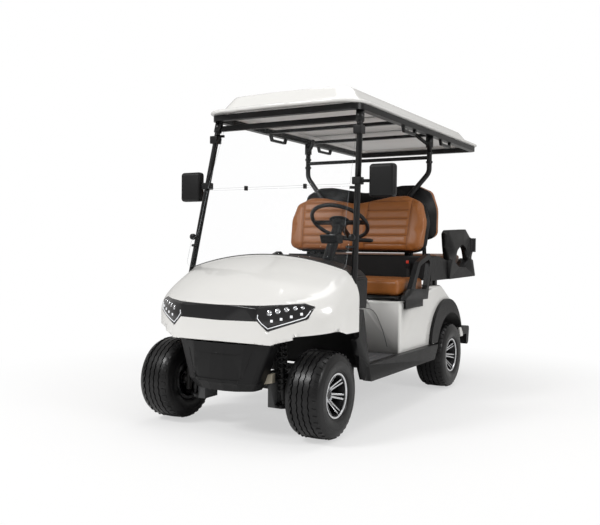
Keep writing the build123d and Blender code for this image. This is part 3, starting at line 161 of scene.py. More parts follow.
# ---------------------------------------------------------------- tyres
# Low-profile tubeless tyres in black rubber, each moulded in one piece, with zig-zag ribs and a row
# of raised blocks near each shoulder.
def finish(name, colour, roughness, metal=0.0, mottle=0.08, patch=9.0, grain=900.0, depth=0.02,
           swing=0.08, coat=0.0, coat_rough=0.1, level=0.5):
    """A surface whose tone drifts in patches, with a fine grain that breaks up its gloss."""
    paint = bpy.data.materials.new(name)
    paint.use_nodes = True
    tree, wires = paint.node_tree.nodes, paint.node_tree.links
    shader = tree["Principled BSDF"]
    shader.inputs["Metallic"].default_value = metal
    shader.inputs["Coat Weight"].default_value = coat
    shader.inputs["Coat Roughness"].default_value = coat_rough
    shader.inputs["Specular IOR Level"].default_value = level
    where = tree.new("ShaderNodeTexCoord")
    patches = tree.new("ShaderNodeTexNoise")
    patches.inputs["Scale"].default_value = patch
    patches.inputs["Detail"].default_value = 5
    wires.new(where.outputs["Object"], patches.inputs["Vector"])
    tone = tree.new("ShaderNodeMix")
    tone.data_type = "RGBA"
    tone.inputs["A"].default_value = [c * (1 - mottle) for c in colour] + [1]
    tone.inputs["B"].default_value = [min(1, c * (1 + mottle)) for c in colour] + [1]
    wires.new(patches.outputs["Fac"], tone.inputs["Factor"])
    wires.new(tone.outputs["Result"], shader.inputs["Base Color"])
    sheen = tree.new("ShaderNodeMapRange")
    sheen.inputs["To Min"].default_value = max(0.02, roughness - swing)
    sheen.inputs["To Max"].default_value = min(1.0, roughness + swing)
    wires.new(patches.outputs["Fac"], sheen.inputs["Value"])
    wires.new(sheen.outputs[0], shader.inputs["Roughness"])
    fine = tree.new("ShaderNodeTexNoise")
    fine.inputs["Scale"].default_value = grain
    fine.inputs["Detail"].default_value = 3
    wires.new(where.outputs["Object"], fine.inputs["Vector"])
    relief = tree.new("ShaderNodeBump")
    relief.inputs["Strength"].default_value = depth
    relief.inputs["Distance"].default_value = 0.001
    wires.new(fine.outputs["Fac"], relief.inputs["Height"])
    wires.new(relief.outputs["Normal"], shader.inputs["Normal"])
    return paint


def pick(test):
    """In edit mode, select just the faces whose middle passes the test."""
    mesh = bmesh.from_edit_mesh(bpy.context.object.data)
    for part in [*mesh.faces, *mesh.edges, *mesh.verts]:
        part.select = False
    for face in mesh.faces:
        if test(face.calc_center_median()):
            face.select = True
    mesh.select_flush_mode()
    bmesh.update_edit_mesh(bpy.context.object.data)


def turn_profile(name, rows, steps, middle=(0, 0, 0), axis=(1, 0, 0)):
    """A closed outline of rows (along X, out along Z) turned once about an axis into a ring."""
    bpy.ops.object.select_all(action="DESELECT")
    bpy.ops.mesh.primitive_circle_add(vertices=len(rows), radius=1)
    piece = bpy.context.object
    piece.name = name
    for vertex, (along, out) in zip(piece.data.vertices, rows):
        vertex.co = (middle[0] + along, middle[1], middle[2] + out)
    bpy.ops.object.mode_set(mode="EDIT")
    bpy.ops.mesh.select_all(action="SELECT")
    bpy.ops.mesh.spin(steps=steps, angle=2 * pi, center=middle, axis=axis)
    bpy.ops.mesh.select_all(action="SELECT")
    bpy.ops.mesh.remove_doubles(threshold=0.00001)
    bpy.ops.mesh.normals_make_consistent(inside=False)
    bpy.ops.object.mode_set(mode="OBJECT")
    return piece


def smooth(piece, angle=40):
    """Shade smooth except over edges sharper than the angle."""
    bpy.ops.object.select_all(action="DESELECT")
    piece.select_set(True)
    bpy.context.view_layer.objects.active = piece
    bpy.ops.object.shade_smooth_by_angle(angle=radians(angle))


def on_block(middle):
    """Faces of the raised blocks, in a row near each shoulder."""
    in_row = any(low < middle.x < high for low, high in block_rows)
    on_tread = Vector((0, middle.y, middle.z)).length > tread_edge
    share = (atan2(middle.y, middle.z) / (2 * pi) * block_count + 0.5) % 1
    return in_row and on_tread and share < block_share


def to_corners(model, prefix, node, faces_out):
    """Copies of a wheel's part at the four corners, each riding on its own wheel."""
    for place, body, across, along in wheel_table:
        piece = model.copy()
        piece.data = model.data.copy()
        piece.name = f"{prefix}_{place}"
        bpy.context.scene.collection.objects.link(piece)
        facing = Matrix.Rotation(pi, 4, "Z") if faces_out and across < 0 else Matrix.Identity(4)
        piece.data.transform(Matrix.Translation((across, along, axle_height)) @ facing)
        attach(piece, body)
        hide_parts(f"{node}_{place}")
    bpy.data.objects.remove(model)


axle_height = 0.2285
wheel_table = [
    # place, body, across, along
    ("front_left", "wheel_fl", 0.467, -1.110),
    ("front_right", "wheel_fr", -0.467, -1.110),
    ("rear_left", "wheel_rl", 0.475, 0.630),
    ("rear_right", "wheel_rr", -0.475, 0.630),
]
tyre_rubber = finish("tyre_rubber", (0.0055, 0.0055, 0.006), 0.40, mottle=0.3, patch=14, grain=900,
                     depth=0.3, coat=0.20, coat_rough=0.22, level=0.25)
block_count = 36
steps_a_block = 4
block_height = 0.0042
block_share = 0.5                  # of the pitch; the rest is the gap to the next block
block_rows = [(-0.066, -0.052), (0.066, 0.087)]    # along the axle from the middle
zig_zag = 0.0026
tread_base = 0.2240
groove_floor = 0.2175
tread_edge = 0.2125
shoulder = 0.09
shoulder_slant = 0.16              # turn of the blocks' ends at the shoulder, in radians
slant_wave = 0.02
half_section = [
    # along the axle, out from it
    (0.086, 0.1016), (0.0875, 0.113), (0.091, 0.121), (0.0945, 0.124), (0.0945, 0.1265),
    (0.0975, 0.128), (0.1005, 0.138), (0.1023, 0.150), (0.1023, 0.164), (0.1014, 0.172),
    (0.1022, 0.1735), (0.1012, 0.176), (0.1000, 0.186), (0.0965, 0.198), (0.0925, 0.2055),
    (0.0870, 0.2118), (0.0660, 0.2190), (0.0520, tread_base - 0.0022),
    (0.0505, groove_floor - 0.0015), (0.0455, groove_floor - 0.0008),
    (0.0440, tread_base - 0.0012), (0.0320, tread_base - 0.0006), (0.0185, tread_base),
    (0.0172, groove_floor), (0.0122, groove_floor), (0.0108, tread_base),
]
section = [(x, r) for x, r in half_section] + [(-x, r) for x, r in reversed(half_section)]
section += [(-0.080, 0.1026), (-0.080, 0.118), (0.080, 0.118), (0.080, 0.1026)]    # the inside
tyre_model = turn_profile("tyre_model", section, block_count * steps_a_block)
bpy.ops.object.mode_set(mode="EDIT")
pick(on_block)
bpy.ops.mesh.inset(thickness=0.0008, depth=block_height, use_individual=False)
bpy.ops.object.mode_set(mode="OBJECT")
for vertex in tyre_model.data.vertices:
    height = Vector((0, vertex.co.y, vertex.co.z)).length
    if height > 0.214 and 0.008 < abs(vertex.co.x) < 0.056:
        vertex.co.x += zig_zag * sin(block_count * atan2(vertex.co.y, vertex.co.z))
    reach = min(abs(vertex.co.x), shoulder)
    slant = shoulder_slant * (reach / shoulder) ** 1.4 + slant_wave * sin(reach * 210)
    vertex.co = Matrix.Rotation(slant, 3, "X") @ vertex.co
tyre_model.data.materials.append(tyre_rubber)
smooth(tyre_model, 32)
to_corners(tyre_model, "tread", "tyre", faces_out=False)


# ---------------------------------------------------------------- alloy wheels
# Cast aluminium wheels, faces and lip machined bright, pockets painted black.
def join(name, parts):
    """Several objects made one, under a name."""
    bpy.ops.object.select_all(action="DESELECT")
    for part in parts:
        part.select_set(True)
    bpy.context.view_layer.objects.active = parts[0]
    bpy.ops.object.join()
    parts[0].name = name
    return parts[0]


def settle(piece):
    """Put the object's place, turn and scale into its mesh."""
    bpy.ops.object.select_all(action="DESELECT")
    piece.select_set(True)
    bpy.context.view_layer.objects.active = piece
    bpy.ops.object.transform_apply(location=True, rotation=True, scale=True)
    return piece


def modify(piece, kind, **values):
    """Add a modifier, set it and apply it."""
    bpy.ops.object.select_all(action="DESELECT")
    piece.select_set(True)
    bpy.context.view_layer.objects.active = piece
    change = piece.modifiers.new(kind.lower(), kind)
    for key, value in values.items():
        setattr(change, key, value)
    bpy.ops.object.modifier_apply(modifier=change.name)
    return piece


def wheel_part(piece, bright):
    """Machined metal on the faces that pass the test, black paint on the rest."""
    piece.data.materials.append(machined_alloy)
    piece.data.materials.append(pocket_black)
    for face in piece.data.polygons:
        out = Vector((0, face.center.y, face.center.z)).length
        face.material_index = 0 if bright(face, out) else 1


machined_alloy = finish("machined_alloy", (0.74, 0.75, 0.77), 0.24, metal=1.0, mottle=0.04, grain=1500,
                        depth=0.05)
pocket_black = finish("pocket_black", (0.010, 0.010, 0.011), 0.3, mottle=0.1, grain=500, depth=0.05,
                      coat=0.3)
rim_face = 0.0905
hub_recess = 0.040
hub_face = hub_recess - 0.003
spoke_count = 7
spoke_foot = 0.030             # out from the axle
spoke_length = 0.075
spoke_depth = 0.020
bar_width = 0.0105             # each spoke is a pair of bars with a slot between them
nut_count = 4
rim_rows = [
    # along the axle outboard, out from it
    (-0.0915, 0.0985), (-0.0915, 0.1150), (-0.0860, 0.1150), (-0.0845, 0.1016), (0.0845, 0.1016),
    (0.0860, 0.1145), (0.0890, 0.1154), (0.0915, 0.1148), (0.0918, 0.1120), (0.0905, 0.1060),
    (0.0870, 0.1046), (0.0800, 0.1030), (0.0560, 0.0975), (-0.0800, 0.0965),
]
rim = turn_profile("rim", rim_rows, 84)
wheel_part(rim, lambda face, out: face.center.x > 0.086 and out > 0.104)
dish = turn_profile("dish", [
    (0.006, 0.030), (0.006, 0.0985), (0.010, 0.0985), (0.014, 0.052), (0.020, 0.030),
], 56)
wheel_part(dish, lambda face, out: False)
hub = turn_profile("hub", [
    (-0.052, 0.0005), (-0.052, 0.032), (0.014, 0.032), (0.022, 0.041), (0.0385, 0.041),
    (0.0410, 0.0385), (0.0410, 0.0270), (0.0395, 0.0262), (0.0395, 0.0248), (0.0440, 0.0240),
    (0.0462, 0.0215), (0.0470, 0.0120), (0.0472, 0.0005),
], 56)
cap_start = 0.0425
cap_radius = 0.0215
wheel_part(hub, lambda face, out: (face.center.x > 0.0375
                                   and (face.center.x <= cap_start or out >= cap_radius)))
bars = []
for side in (-1, 1):
    bpy.ops.object.select_all(action="DESELECT")
    bpy.ops.mesh.primitive_cube_add(size=1, location=(0, 0, spoke_foot + spoke_length / 2))
    bar = bpy.context.object
    bar.scale = (spoke_depth, bar_width, spoke_length)
    settle(bar)
    bpy.ops.object.mode_set(mode="EDIT")
    bpy.ops.mesh.select_all(action="SELECT")
    bpy.ops.mesh.subdivide(number_cuts=3)
    bpy.ops.object.mode_set(mode="OBJECT")
    for vertex in bar.data.vertices:    # dished out to the rim, and parting as it goes
        share = (vertex.co.z - spoke_foot) / spoke_length
        front = hub_face + (rim_face - 0.004 - hub_recess) * share ** 1.15
        vertex.co.x += front - spoke_depth / 2
        vertex.co.y = vertex.co.y * (1.0 - 0.2 * share) + side * (0.0058 + 0.0062 * share)
    bar.data.update()
    wheel_part(bar, lambda face, out: face.normal.x > 0.5)
    modify(bar, "BEVEL", width=0.0012, segments=2, limit_method="ANGLE")
    bars.append(bar)
spoke = join("spoke", bars)
spokes = []
for i in range(spoke_count):
    arm = spoke.copy()
    arm.data = spoke.data.copy()
    bpy.context.scene.collection.objects.link(arm)
    arm.data.transform(Matrix.Rotation(2 * pi * i / spoke_count, 4, "X"))
    spokes.append(arm)
bpy.data.objects.remove(spoke)
nuts = []
for i in range(nut_count):
    bpy.ops.object.select_all(action="DESELECT")
    bpy.ops.mesh.primitive_cylinder_add(vertices=6, radius=0.0062, depth=0.012,
                                        location=(0.043, 0, 0.0325), rotation=(0, pi / 2, 0))
    nut = settle(bpy.context.object)
    nut.data.transform(Matrix.Rotation(2 * pi * (i + 0.5) / nut_count, 4, "X"))
    nut.data.materials.append(machined_alloy)
    nuts.append(nut)
wheel_model = join("wheel_model", [rim, dish, hub] + spokes + nuts)
smooth(wheel_model, 35)
to_corners(wheel_model, "alloy", "wheel", faces_out=True)


# ---------------------------------------------------------------- steering and front suspension
# Forged knuckles and tie rods with yellow-passivated ends, pressed arms, and coil-over shocks whose
# springs are wound from black wire round a damper.
def own_copy(node, name):
    """A node's mesh as a piece of its own, with the seams between its faces merged."""
    bpy.ops.object.select_all(action="DESELECT")
    piece = nodes[node].copy()
    piece.data = nodes[node].data.copy()
    piece.parent = None
    piece.name = name
    bpy.context.scene.collection.objects.link(piece)
    piece.select_set(True)
    bpy.context.view_layer.objects.active = piece
    bpy.ops.object.mode_set(mode="EDIT")
    bpy.ops.mesh.select_all(action="SELECT")
    bpy.ops.mesh.remove_doubles(threshold=0.00002)
    bpy.ops.object.mode_set(mode="OBJECT")
    return piece


def one_material(piece, material):
    """One material over the whole piece."""
    piece.data.materials.clear()
    piece.data.materials.append(material)
    for face in piece.data.polygons:
        face.material_index = 0


def recast(node, body, material, angle=35):
    """A moulding's own mesh with its seams merged and its curves shaded smooth."""
    piece = own_copy(node, f"{node}_moulding")
    one_material(piece, material)
    smooth(piece, angle)
    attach(piece, body)
    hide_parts(node)
    return piece


def wire(name, points, radius, material, body, closed=False, sides=3):
    """A round wire or bead along points, as a mesh."""
    bpy.ops.object.select_all(action="DESELECT")
    line = bpy.data.curves.new(name, "CURVE")
    line.dimensions = "3D"
    line.bevel_depth = radius
    line.bevel_resolution = sides
    line.use_fill_caps = True
    run = line.splines.new("POLY")
    run.points.add(len(points) - 1)
    for place, point in zip(run.points, points):
        place.co = (*point, 1)
    run.use_cyclic_u = closed
    piece = bpy.data.objects.new(name, line)
    bpy.context.scene.collection.objects.link(piece)
    piece.select_set(True)
    bpy.context.view_layer.objects.active = piece
    bpy.ops.object.convert(target="MESH")
    piece = bpy.context.object
    piece.data.materials.clear()
    piece.data.materials.append(material)
    smooth(piece, 45)
    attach(piece, body)
    return piece


def rounded_block(name, low, high, material, body, edge=0.003, shape=None, segments=3):
    """A block between two corners, tapered by shape and with rounded edges."""
    bpy.ops.object.select_all(action="DESELECT")
    middle = [(a + b) / 2 for a, b in zip(low, high)]
    bpy.ops.mesh.primitive_cube_add(size=1, location=middle)
    piece = bpy.context.object
    piece.name = name
    piece.scale = [b - a for a, b in zip(low, high)]
    settle(piece)
    if shape:
        for vertex in piece.data.vertices:
            vertex.co = shape(vertex.co.copy())
    modify(piece, "BEVEL", width=edge, segments=segments, limit_method="ANGLE")
    piece.data.materials.append(material)
    smooth(piece, 40)
    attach(piece, body)
    return piece


def turned(name, rows, start, end, material, body, steps=28):
    """A turned part: rows of (share of the way, radius) between two points."""
    start, end = Vector(start), Vector(end)
    length = (end - start).length
    profile = [(share * length, max(radius, 0.0004)) for share, radius in rows]
    bpy.ops.object.select_all(action="DESELECT")
    bpy.ops.mesh.primitive_circle_add(vertices=len(profile), radius=1)
    piece = bpy.context.object
    piece.name = name
    for vertex, (along, out) in zip(piece.data.vertices, profile):
        vertex.co = (along, 0, out)
    bpy.ops.object.mode_set(mode="EDIT")
    bpy.ops.mesh.select_all(action="SELECT")
    bpy.ops.mesh.spin(steps=steps, angle=2 * pi, center=(0, 0, 0), axis=(1, 0, 0))
    bpy.ops.mesh.select_all(action="SELECT")
    bpy.ops.mesh.remove_doubles(threshold=0.00001)
    bpy.ops.mesh.normals_make_consistent(inside=False)
    bpy.ops.object.mode_set(mode="OBJECT")
    turn = (end - start).to_track_quat("X", "Z").to_matrix().to_4x4()
    piece.data.transform(Matrix.Translation(start) @ turn)
    piece.data.materials.append(material)
    smooth(piece, 40)
    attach(piece, body)
    return piece


forged_iron = finish("forged_iron", (0.045, 0.044, 0.043), 0.55, metal=0.6, mottle=0.3, patch=22,
                     grain=420, depth=0.3)
for side in ("left", "right"):
    recast(f"knuckle_{side}", f"knuckle_{side}", forged_iron)
recast("steering_rack", "body", forged_iron)
passivated_steel = finish("passivated_steel", (0.50, 0.36, 0.14), 0.35, metal=1.0, mottle=0.2, patch=60)
for side in ("left", "right"):
    recast(f"tie_rod_{side}", f"tie_{side}", passivated_steel)
chassis_black = finish("chassis_black", (0.007, 0.007, 0.0075), 0.40, mottle=0.2, grain=260,
                       depth=0.18, level=0.3)
raw_casting = finish("raw_casting", (0.42, 0.38, 0.30), 0.5, metal=0.3, mottle=0.12, patch=30,
                     grain=300, depth=0.2)
recast("front_arms", "body", chassis_black)
shock_foot = Vector((0.284, -1.176, 0.168))
shock_head = Vector((0.262, -1.176, 0.542))
spring_turns = 9
points_a_turn = 14
spring_radius = 0.0235
spring_wire = 0.0048
spring_low = 0.20              # share of the shock's length where the spring sits down
spring_run = 0.66
casting_inner = 0.16
casting_outer = 0.256          # short of the steered tyre
casting_low = 0.262
casting_high = 0.312
casting_rise = 0.030 / 0.145
for side, label in ((1, "left"), (-1, "right")):
    foot = Vector((side * shock_foot.x, shock_foot.y, shock_foot.z))
    head = Vector((side * shock_head.x, shock_head.y, shock_head.z))
    run = head - foot
    steer_to = run.to_track_quat("Z", "Y")
    coil = []
    for i in range(spring_turns * points_a_turn + 1):
        turn = 2 * pi * i / points_a_turn
        share = spring_low + spring_run * i / (spring_turns * points_a_turn)
        across_coil = Vector((cos(turn), sin(turn), 0)) * spring_radius
        coil.append(foot + run * share + steer_to @ across_coil)
    spring = wire(f"coil_spring_{label}", coil, spring_wire, chassis_black, "body")
    damper = turned(f"damper_{label}", [
        (0.0, 0), (0.0, 0.010), (0.05, 0.0105), (0.06, 0.0145), (0.17, 0.0145), (0.175, 0.028),
        (0.195, 0.028), (0.2, 0.016), (0.52, 0.016), (0.53, 0.0075), (0.86, 0.0075), (0.865, 0.027),
        (0.885, 0.027), (0.9, 0.014), (1.0, 0.012), (1.0, 0),
    ], foot, head, chassis_black, "body")
    if side > 0:
        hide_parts("front_coil_shocks")
    ends = sorted((side * casting_inner, side * casting_outer))
    rounded_block(f"rack_arm_{label}", (ends[0], -1.245, casting_low), (ends[1], -1.213, casting_high),
                  raw_casting, "body", edge=0.004,
                  shape=lambda at: at + Vector((0, 0, casting_rise * (abs(at.x) - casting_inner))))


# ---------------------------------------------------------------- ladder frame, axle and battery
# Welded tube frame in grey paint, iron rear axle on leaf springs, closed battery block.
frame_grey = finish("frame_grey", (0.055, 0.056, 0.058), 0.5, mottle=0.12, patch=12, grain=240, depth=0.15)
recast("chassis_frame", "body", frame_grey, 30)
recast("rear_axle", "body", forged_iron)
spring_steel = finish("spring_steel", (0.06, 0.06, 0.062), 0.45, metal=0.7, mottle=0.3, patch=30)
recast("leaf_springs", "body", spring_steel)
battery_case = finish("battery_case", (0.03, 0.034, 0.05), 0.5, mottle=0.12, grain=500, depth=0.15)
recast("battery_pack", "body", battery_case)


# ---------------------------------------------------------------- floor, mat and sills
# Black coated floor pan, ribbed grey mat laid on it, moulded black sills along both sides.
moulded_black = finish("moulded_black", (0.0065, 0.0065, 0.0070), 0.42, mottle=0.15, patch=7,
                       grain=1400, depth=0.35, level=0.26)
recast("floor_panel", "body", moulded_black)
recast("side_sills", "body", moulded_black, 30)
mat_grey = finish("mat_grey", (0.11, 0.11, 0.115), 0.75, mottle=0.15, grain=500, depth=0.4)
recast("floor_mat", "body", mat_grey)
rib_count = 17
rib_pitch = 0.055
rib_half = 0.012
for i in range(rib_count):
    rib_x = rib_pitch * (i - (rib_count - 1) / 2)
    rounded_block(f"mat_rib_{i}", (rib_x - rib_half, -0.70, 0.3325), (rib_x + rib_half, -0.29, 0.3355),
                  mat_grey, "body", edge=0.0012, segments=1)


# ---------------------------------------------------------------- front body
# One injection-moulded cowl with its fenders, painted gloss white, with a black band and lamps set
# flush in its nose and a textured black valance bolted under it.
body_white = finish("body_white", (0.80, 0.795, 0.775), 0.26, mottle=0.012, patch=3, grain=300,
                    depth=0.008, swing=0.03, coat=1.0, coat_rough=0.04)
cowl = recast("front_body", "body", body_white, 38)
band_black = finish("band_black", (0.007, 0.007, 0.008), 0.30, mottle=0.1, grain=900, depth=0.06,
                    coat=0.1, level=0.3)
gloss_black = finish("gloss_black", (0.006, 0.006, 0.007), 0.16, mottle=0.1, grain=500, depth=0.02,
                     coat=0.4)
recast("grille_band", "body", band_black, 40)
valance = recast("front_valance", "body", moulded_black, 6)
bead_radius = 0.0040
bead_sunk = 0.0022
bead_sunk_below = 0.0042       # along the recess's foot, where the valance is furthest forward
recess_foot = 0.300
ahead_of_nose = -1.6           # rays to the nose start here
bead_line = [
    # across, up
    (-0.196, 0.442), (0.0, 0.434), (0.196, 0.442), (0.170, 0.366), (0.142, 0.292), (0.0, 0.286),
    (-0.142, 0.292), (-0.170, 0.366),
]
bead_points = []
for x, z in bead_line:
    hit, place, normal, _ = valance.ray_cast(Vector((x, ahead_of_nose, z)), Vector((0, 1, 0)))
    if hit:
        bead_points.append(place - normal * (bead_sunk if z > recess_foot else bead_sunk_below))
wire("valance_bead", bead_points, bead_radius, moulded_black, "body", closed=True)

lamp_shell = recast("headlights", "body", gloss_black, 40)
lamp_white = finish("lamp_white", (0.90, 0.92, 0.95), 0.2, mottle=0.02, grain=200, depth=0.0, coat=0.5)
lamp_shader = lamp_white.node_tree.nodes["Principled BSDF"]
lamp_shader.inputs["Emission Color"].default_value = (0.92, 0.95, 1.0, 1)
lamp_shader.inputs["Emission Strength"].default_value = 0.25
lamp_chrome = finish("lamp_chrome", (0.55, 0.56, 0.58), 0.10, metal=1.0, mottle=0.25, patch=120,
                     grain=300, depth=0.2)


def on_lamp(x, z, proud=0.0):
    """A point just in front of the lamp's face, at a place across and up, and the face's normal."""
    hit, place, normal, _ = lamp_shell.ray_cast(Vector((x, ahead_of_nose, z)), Vector((0, 1, 0)))
    return (place + normal * proud, normal) if hit else None


def lamp_wire(name, side, line, proud, radius, material, closed=False):
    """A bead laid along a line of places on the lamp's face."""
    spots = [on_lamp(side * x, z, proud) for x, z in line]
    wire(name, [spot[0] for spot in spots if spot], radius, material, "body", closed=closed)


strip_line = [
    # across, up
    (0.243, 0.640), (0.242, 0.622), (0.262, 0.598), (0.294, 0.572), (0.340, 0.588), (0.400, 0.609),
    (0.452, 0.629), (0.462, 0.645), (0.469, 0.662),
]
bezel_line = [
    # across, up
    (0.250, 0.672), (0.243, 0.622), (0.292, 0.566), (0.456, 0.624), (0.472, 0.676), (0.436, 0.688),
]
glow_squares = [
    # across, up
    (0.312, 0.611), (0.354, 0.621), (0.396, 0.633), (0.436, 0.646),
]
projectors = [
    # across, up, radius
    (0.300, 0.650, 0.013), (0.336, 0.660, 0.013), (0.372, 0.668, 0.012), (0.406, 0.674, 0.011),
    (0.436, 0.677, 0.009),
]
square_size = (0.013, 0.005, 0.013)
for side, label in ((1, "left"), (-1, "right")):
    lamp_wire(f"light_strip_{label}", side, strip_line, 0.0008, 0.0022, lamp_white)
    lamp_wire(f"lamp_bezel_{label}", side, bezel_line, 0.0006, 0.0014, band_black,
              closed=True)
    for i, (x, z) in enumerate(glow_squares):
        place, normal = on_lamp(side * x, z)
        bpy.ops.object.select_all(action="DESELECT")
        bpy.ops.mesh.primitive_cube_add(size=1)
        square = bpy.context.object
        square.name = f"glow_square_{label}_{i}"
        square.scale = square_size
        settle(square)
        modify(square, "BEVEL", width=0.0015, segments=2)
        facing = normal.to_track_quat("-Y", "Z").to_matrix().to_4x4()
        square.data.transform(Matrix.Translation(place) @ facing)
        square.data.materials.append(lamp_white)
        smooth(square, 40)
        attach(square, "body")
    for i, (x, z, size) in enumerate(projectors):
        spot = on_lamp(side * x, z)
        if spot:
            place, normal = spot
            turned(f"projector_{label}_{i}", [
                (0, 0), (0, size), (0.5, size * 1.02), (0.62, size * 0.86), (0.5, size * 0.72),
                (0.8, size * 0.52), (1.0, size * 0.2), (1.0, 0),
            ], place - normal * 0.004, place + normal * 0.0035, lamp_chrome, "body", steps=20)
# Black for the hood's rubber seal, and for the thin lines along the tub's panel seams, where the black is
# painted shade of the seam.
seal_black_and_seam_shade = finish("seal_black_and_seam_shade", (0.012, 0.012, 0.012), 0.6, mottle=0.1, grain=400, depth=0.1)
seal_radius = 0.0048
seal_half_width = 0.552
seal_points = 49
seal_line = []
for i in range(seal_points):
    x = seal_half_width * (2 * i / (seal_points - 1) - 1)
    hit, place, normal, _ = cowl.ray_cast(Vector((x, -0.912, 1.4)), Vector((0, 0, -1)))
    if hit and place.z > 0.70:
        seal_line.append(place + Vector((0, 0.004, 0.0005)))
wire("hood_seal", seal_line, seal_radius, seal_black_and_seam_shade, "body")


# ---------------------------------------------------------------- dashboard, wheel and pedals
# Moulded soft-grain dash, steering column with its shroud and stalk, padded three-spoke wheel,
# steel pedals.
recast("dashboard", "body", moulded_black, 30)
recast("steering_column", "body", moulded_black, 35)
wheel_grip = finish("wheel_grip", (0.006, 0.006, 0.0065), 0.40, mottle=0.2, grain=1600, depth=0.4,
                    level=0.3)
recast("steering_wheel", "steering_wheel", wheel_grip, 50)
recast("pedals", "body", chassis_black)
wheel_axis = Vector((0, 0.5446390, 0.8386706))
wheel_middle = Vector((0.215, -0.430, 1.130))
display_glass = finish("display_glass", (0.004, 0.004, 0.005), 0.06, mottle=0.05, grain=100, depth=0.0,
                       coat=1.0)
chrome = finish("chrome", (0.75, 0.76, 0.78), 0.10, metal=1.0, mottle=0.03, grain=300, depth=0.02)


def on_wheel(x, y, z):
    """A point in the steering wheel's own plane: across, up the wheel, out towards the driver."""
    slope = Vector((0, wheel_axis.z, -wheel_axis.y))
    return wheel_middle + Vector((x, 0, 0)) - slope * y + wheel_axis * z


bpy.ops.object.select_all(action="DESELECT")
bpy.ops.mesh.primitive_uv_sphere_add(segments=28, ring_count=14, radius=1)
hub_pad = bpy.context.object
hub_pad.name = "wheel_hub_pad"
for vertex in hub_pad.data.vertices:
    x, y, z = vertex.co
    wide = 0.066 if y > 0 else 0.050
    vertex.co = on_wheel(x * wide * (1 + 0.15 * abs(y)), y * 0.052, 0.006 + max(z, -0.4) * 0.016)
hub_pad.data.flip_normals()    # on_wheel mirrors the sphere
hub_pad.data.materials.append(wheel_grip)
smooth(hub_pad, 60)
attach(hub_pad, "steering_wheel")
turned("stalk", [(0, 0), (0, 0.0085), (0.28, 0.0085), (0.30, 0.0105), (0.55, 0.0105), (0.57, 0.0130),
                 (0.62, 0.0130), (0.64, 0.0115), (0.93, 0.0122), (1.0, 0.0075), (1.0, 0)],
       (0.245, -0.472, 1.028), (0.452, -0.468, 1.018), moulded_black, "body")
turned("stalk_ring", [(0, 0.009), (0.1, 0.0138), (0.9, 0.0138), (1.0, 0.009)],
       (0.352, -0.470, 1.0235), (0.360, -0.470, 1.0231), chrome, "body", steps=24)
rounded_block("gauge_pod", (0.155, -0.560, 1.000), (0.275, -0.490, 1.052), moulded_black, "body",
              edge=0.010, shape=lambda at: at + Vector((0, -0.4 * (at.z - 1.0), 0)))
rounded_block("gauge_face", (0.172, -0.534, 1.0524), (0.258, -0.516, 1.0545), display_glass, "body",
              edge=0.001)


# ---------------------------------------------------------------- rear body and trim
# White moulded tub, matte black arch flares, ribbed footboard and red tail lamps.
tub = recast("rear_body", "body", body_white, 30)
# A thin dark line along each front panel's seam, laid on the one-piece tub: painted shade of the seam's
# groove.
seam_shade_line = [
    # across, up
    (0.300, 0.603), (0.335, 0.600), (0.362, 0.588), (0.384, 0.562), (0.404, 0.520), (0.424, 0.474),
    (0.442, 0.420), (0.456, 0.372),
]
for side, label in ((1, "left"), (-1, "right")):
    seam = []
    for x, z in seam_shade_line:
        hit, place, normal, _ = tub.ray_cast(Vector((side * x, -0.6, z)), Vector((0, 1, 0)))
        if hit:
            seam.append(place)
    wire(f"panel_seam_shade_{label}", seam, 0.0016, seal_black_and_seam_shade, "body")
recast("rear_flares", "body", moulded_black, 35)
recast("rear_footboard", "body", moulded_black, 30)
lamp_red = finish("lamp_red", (0.42, 0.012, 0.010), 0.12, mottle=0.05, grain=200, depth=0.05, coat=1.0)
recast("tail_lamps", "body", lamp_red)


# ---------------------------------------------------------------- seats
# Foam cushions under brown leather-grain cover with sewn channels, on black boards and shells.
seat_hide = finish("seat_hide", (0.315, 0.108, 0.0245), 0.34, mottle=0.10, patch=14, grain=1100,
                   depth=0.45)
# Darker than the hide: the stitching thread's own colour, and painted shade of the sewn grooves it lies in.
hide_thread = finish("hide_thread", (0.10, 0.035, 0.011), 0.7, mottle=0.1, grain=900, depth=0.2)
voxel = 0.008
foam_inset = 0.006
cover_pressure = 4
cover_frames = 20


def cushion(name, node, body, puff):
    """A cover blown up over slightly smaller foam, held inside the space of its block."""
    piece = own_copy(node, name)
    modify(piece, "REMESH", mode="VOXEL", voxel_size=voxel)
    modify(piece, "SMOOTH", factor=0.5, iterations=6)
    low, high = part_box(node)
    rest = [vertex.co - vertex.normal * foam_inset for vertex in piece.data.vertices]
    for vertex, place in zip(piece.data.vertices, rest):
        vertex.co = place
    cloth = piece.modifiers.new("cover", "CLOTH")
    cloth.settings.use_pressure = True
    cloth.settings.uniform_pressure_force = cover_pressure
    cloth.settings.effector_weights.gravity = 0
    for frame_number in range(1, cover_frames + 1):
        bpy.context.scene.frame_set(frame_number)
    bpy.ops.object.modifier_apply(modifier=cloth.name)
    bpy.context.scene.frame_set(1)
    for vertex, place in zip(piece.data.vertices, rest):
        moved = vertex.co - place
        if moved.length > puff:
            vertex.co = place + moved * (puff / moved.length)
        vertex.co = [min(max(value, a), b) for value, a, b in zip(vertex.co, low, high)]
    modify(piece, "SUBSURF", levels=1, render_levels=1)
    one_material(piece, seat_hide)
    for face in piece.data.polygons:
        face.use_smooth = True
    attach(piece, body)
    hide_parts(node)
    return piece


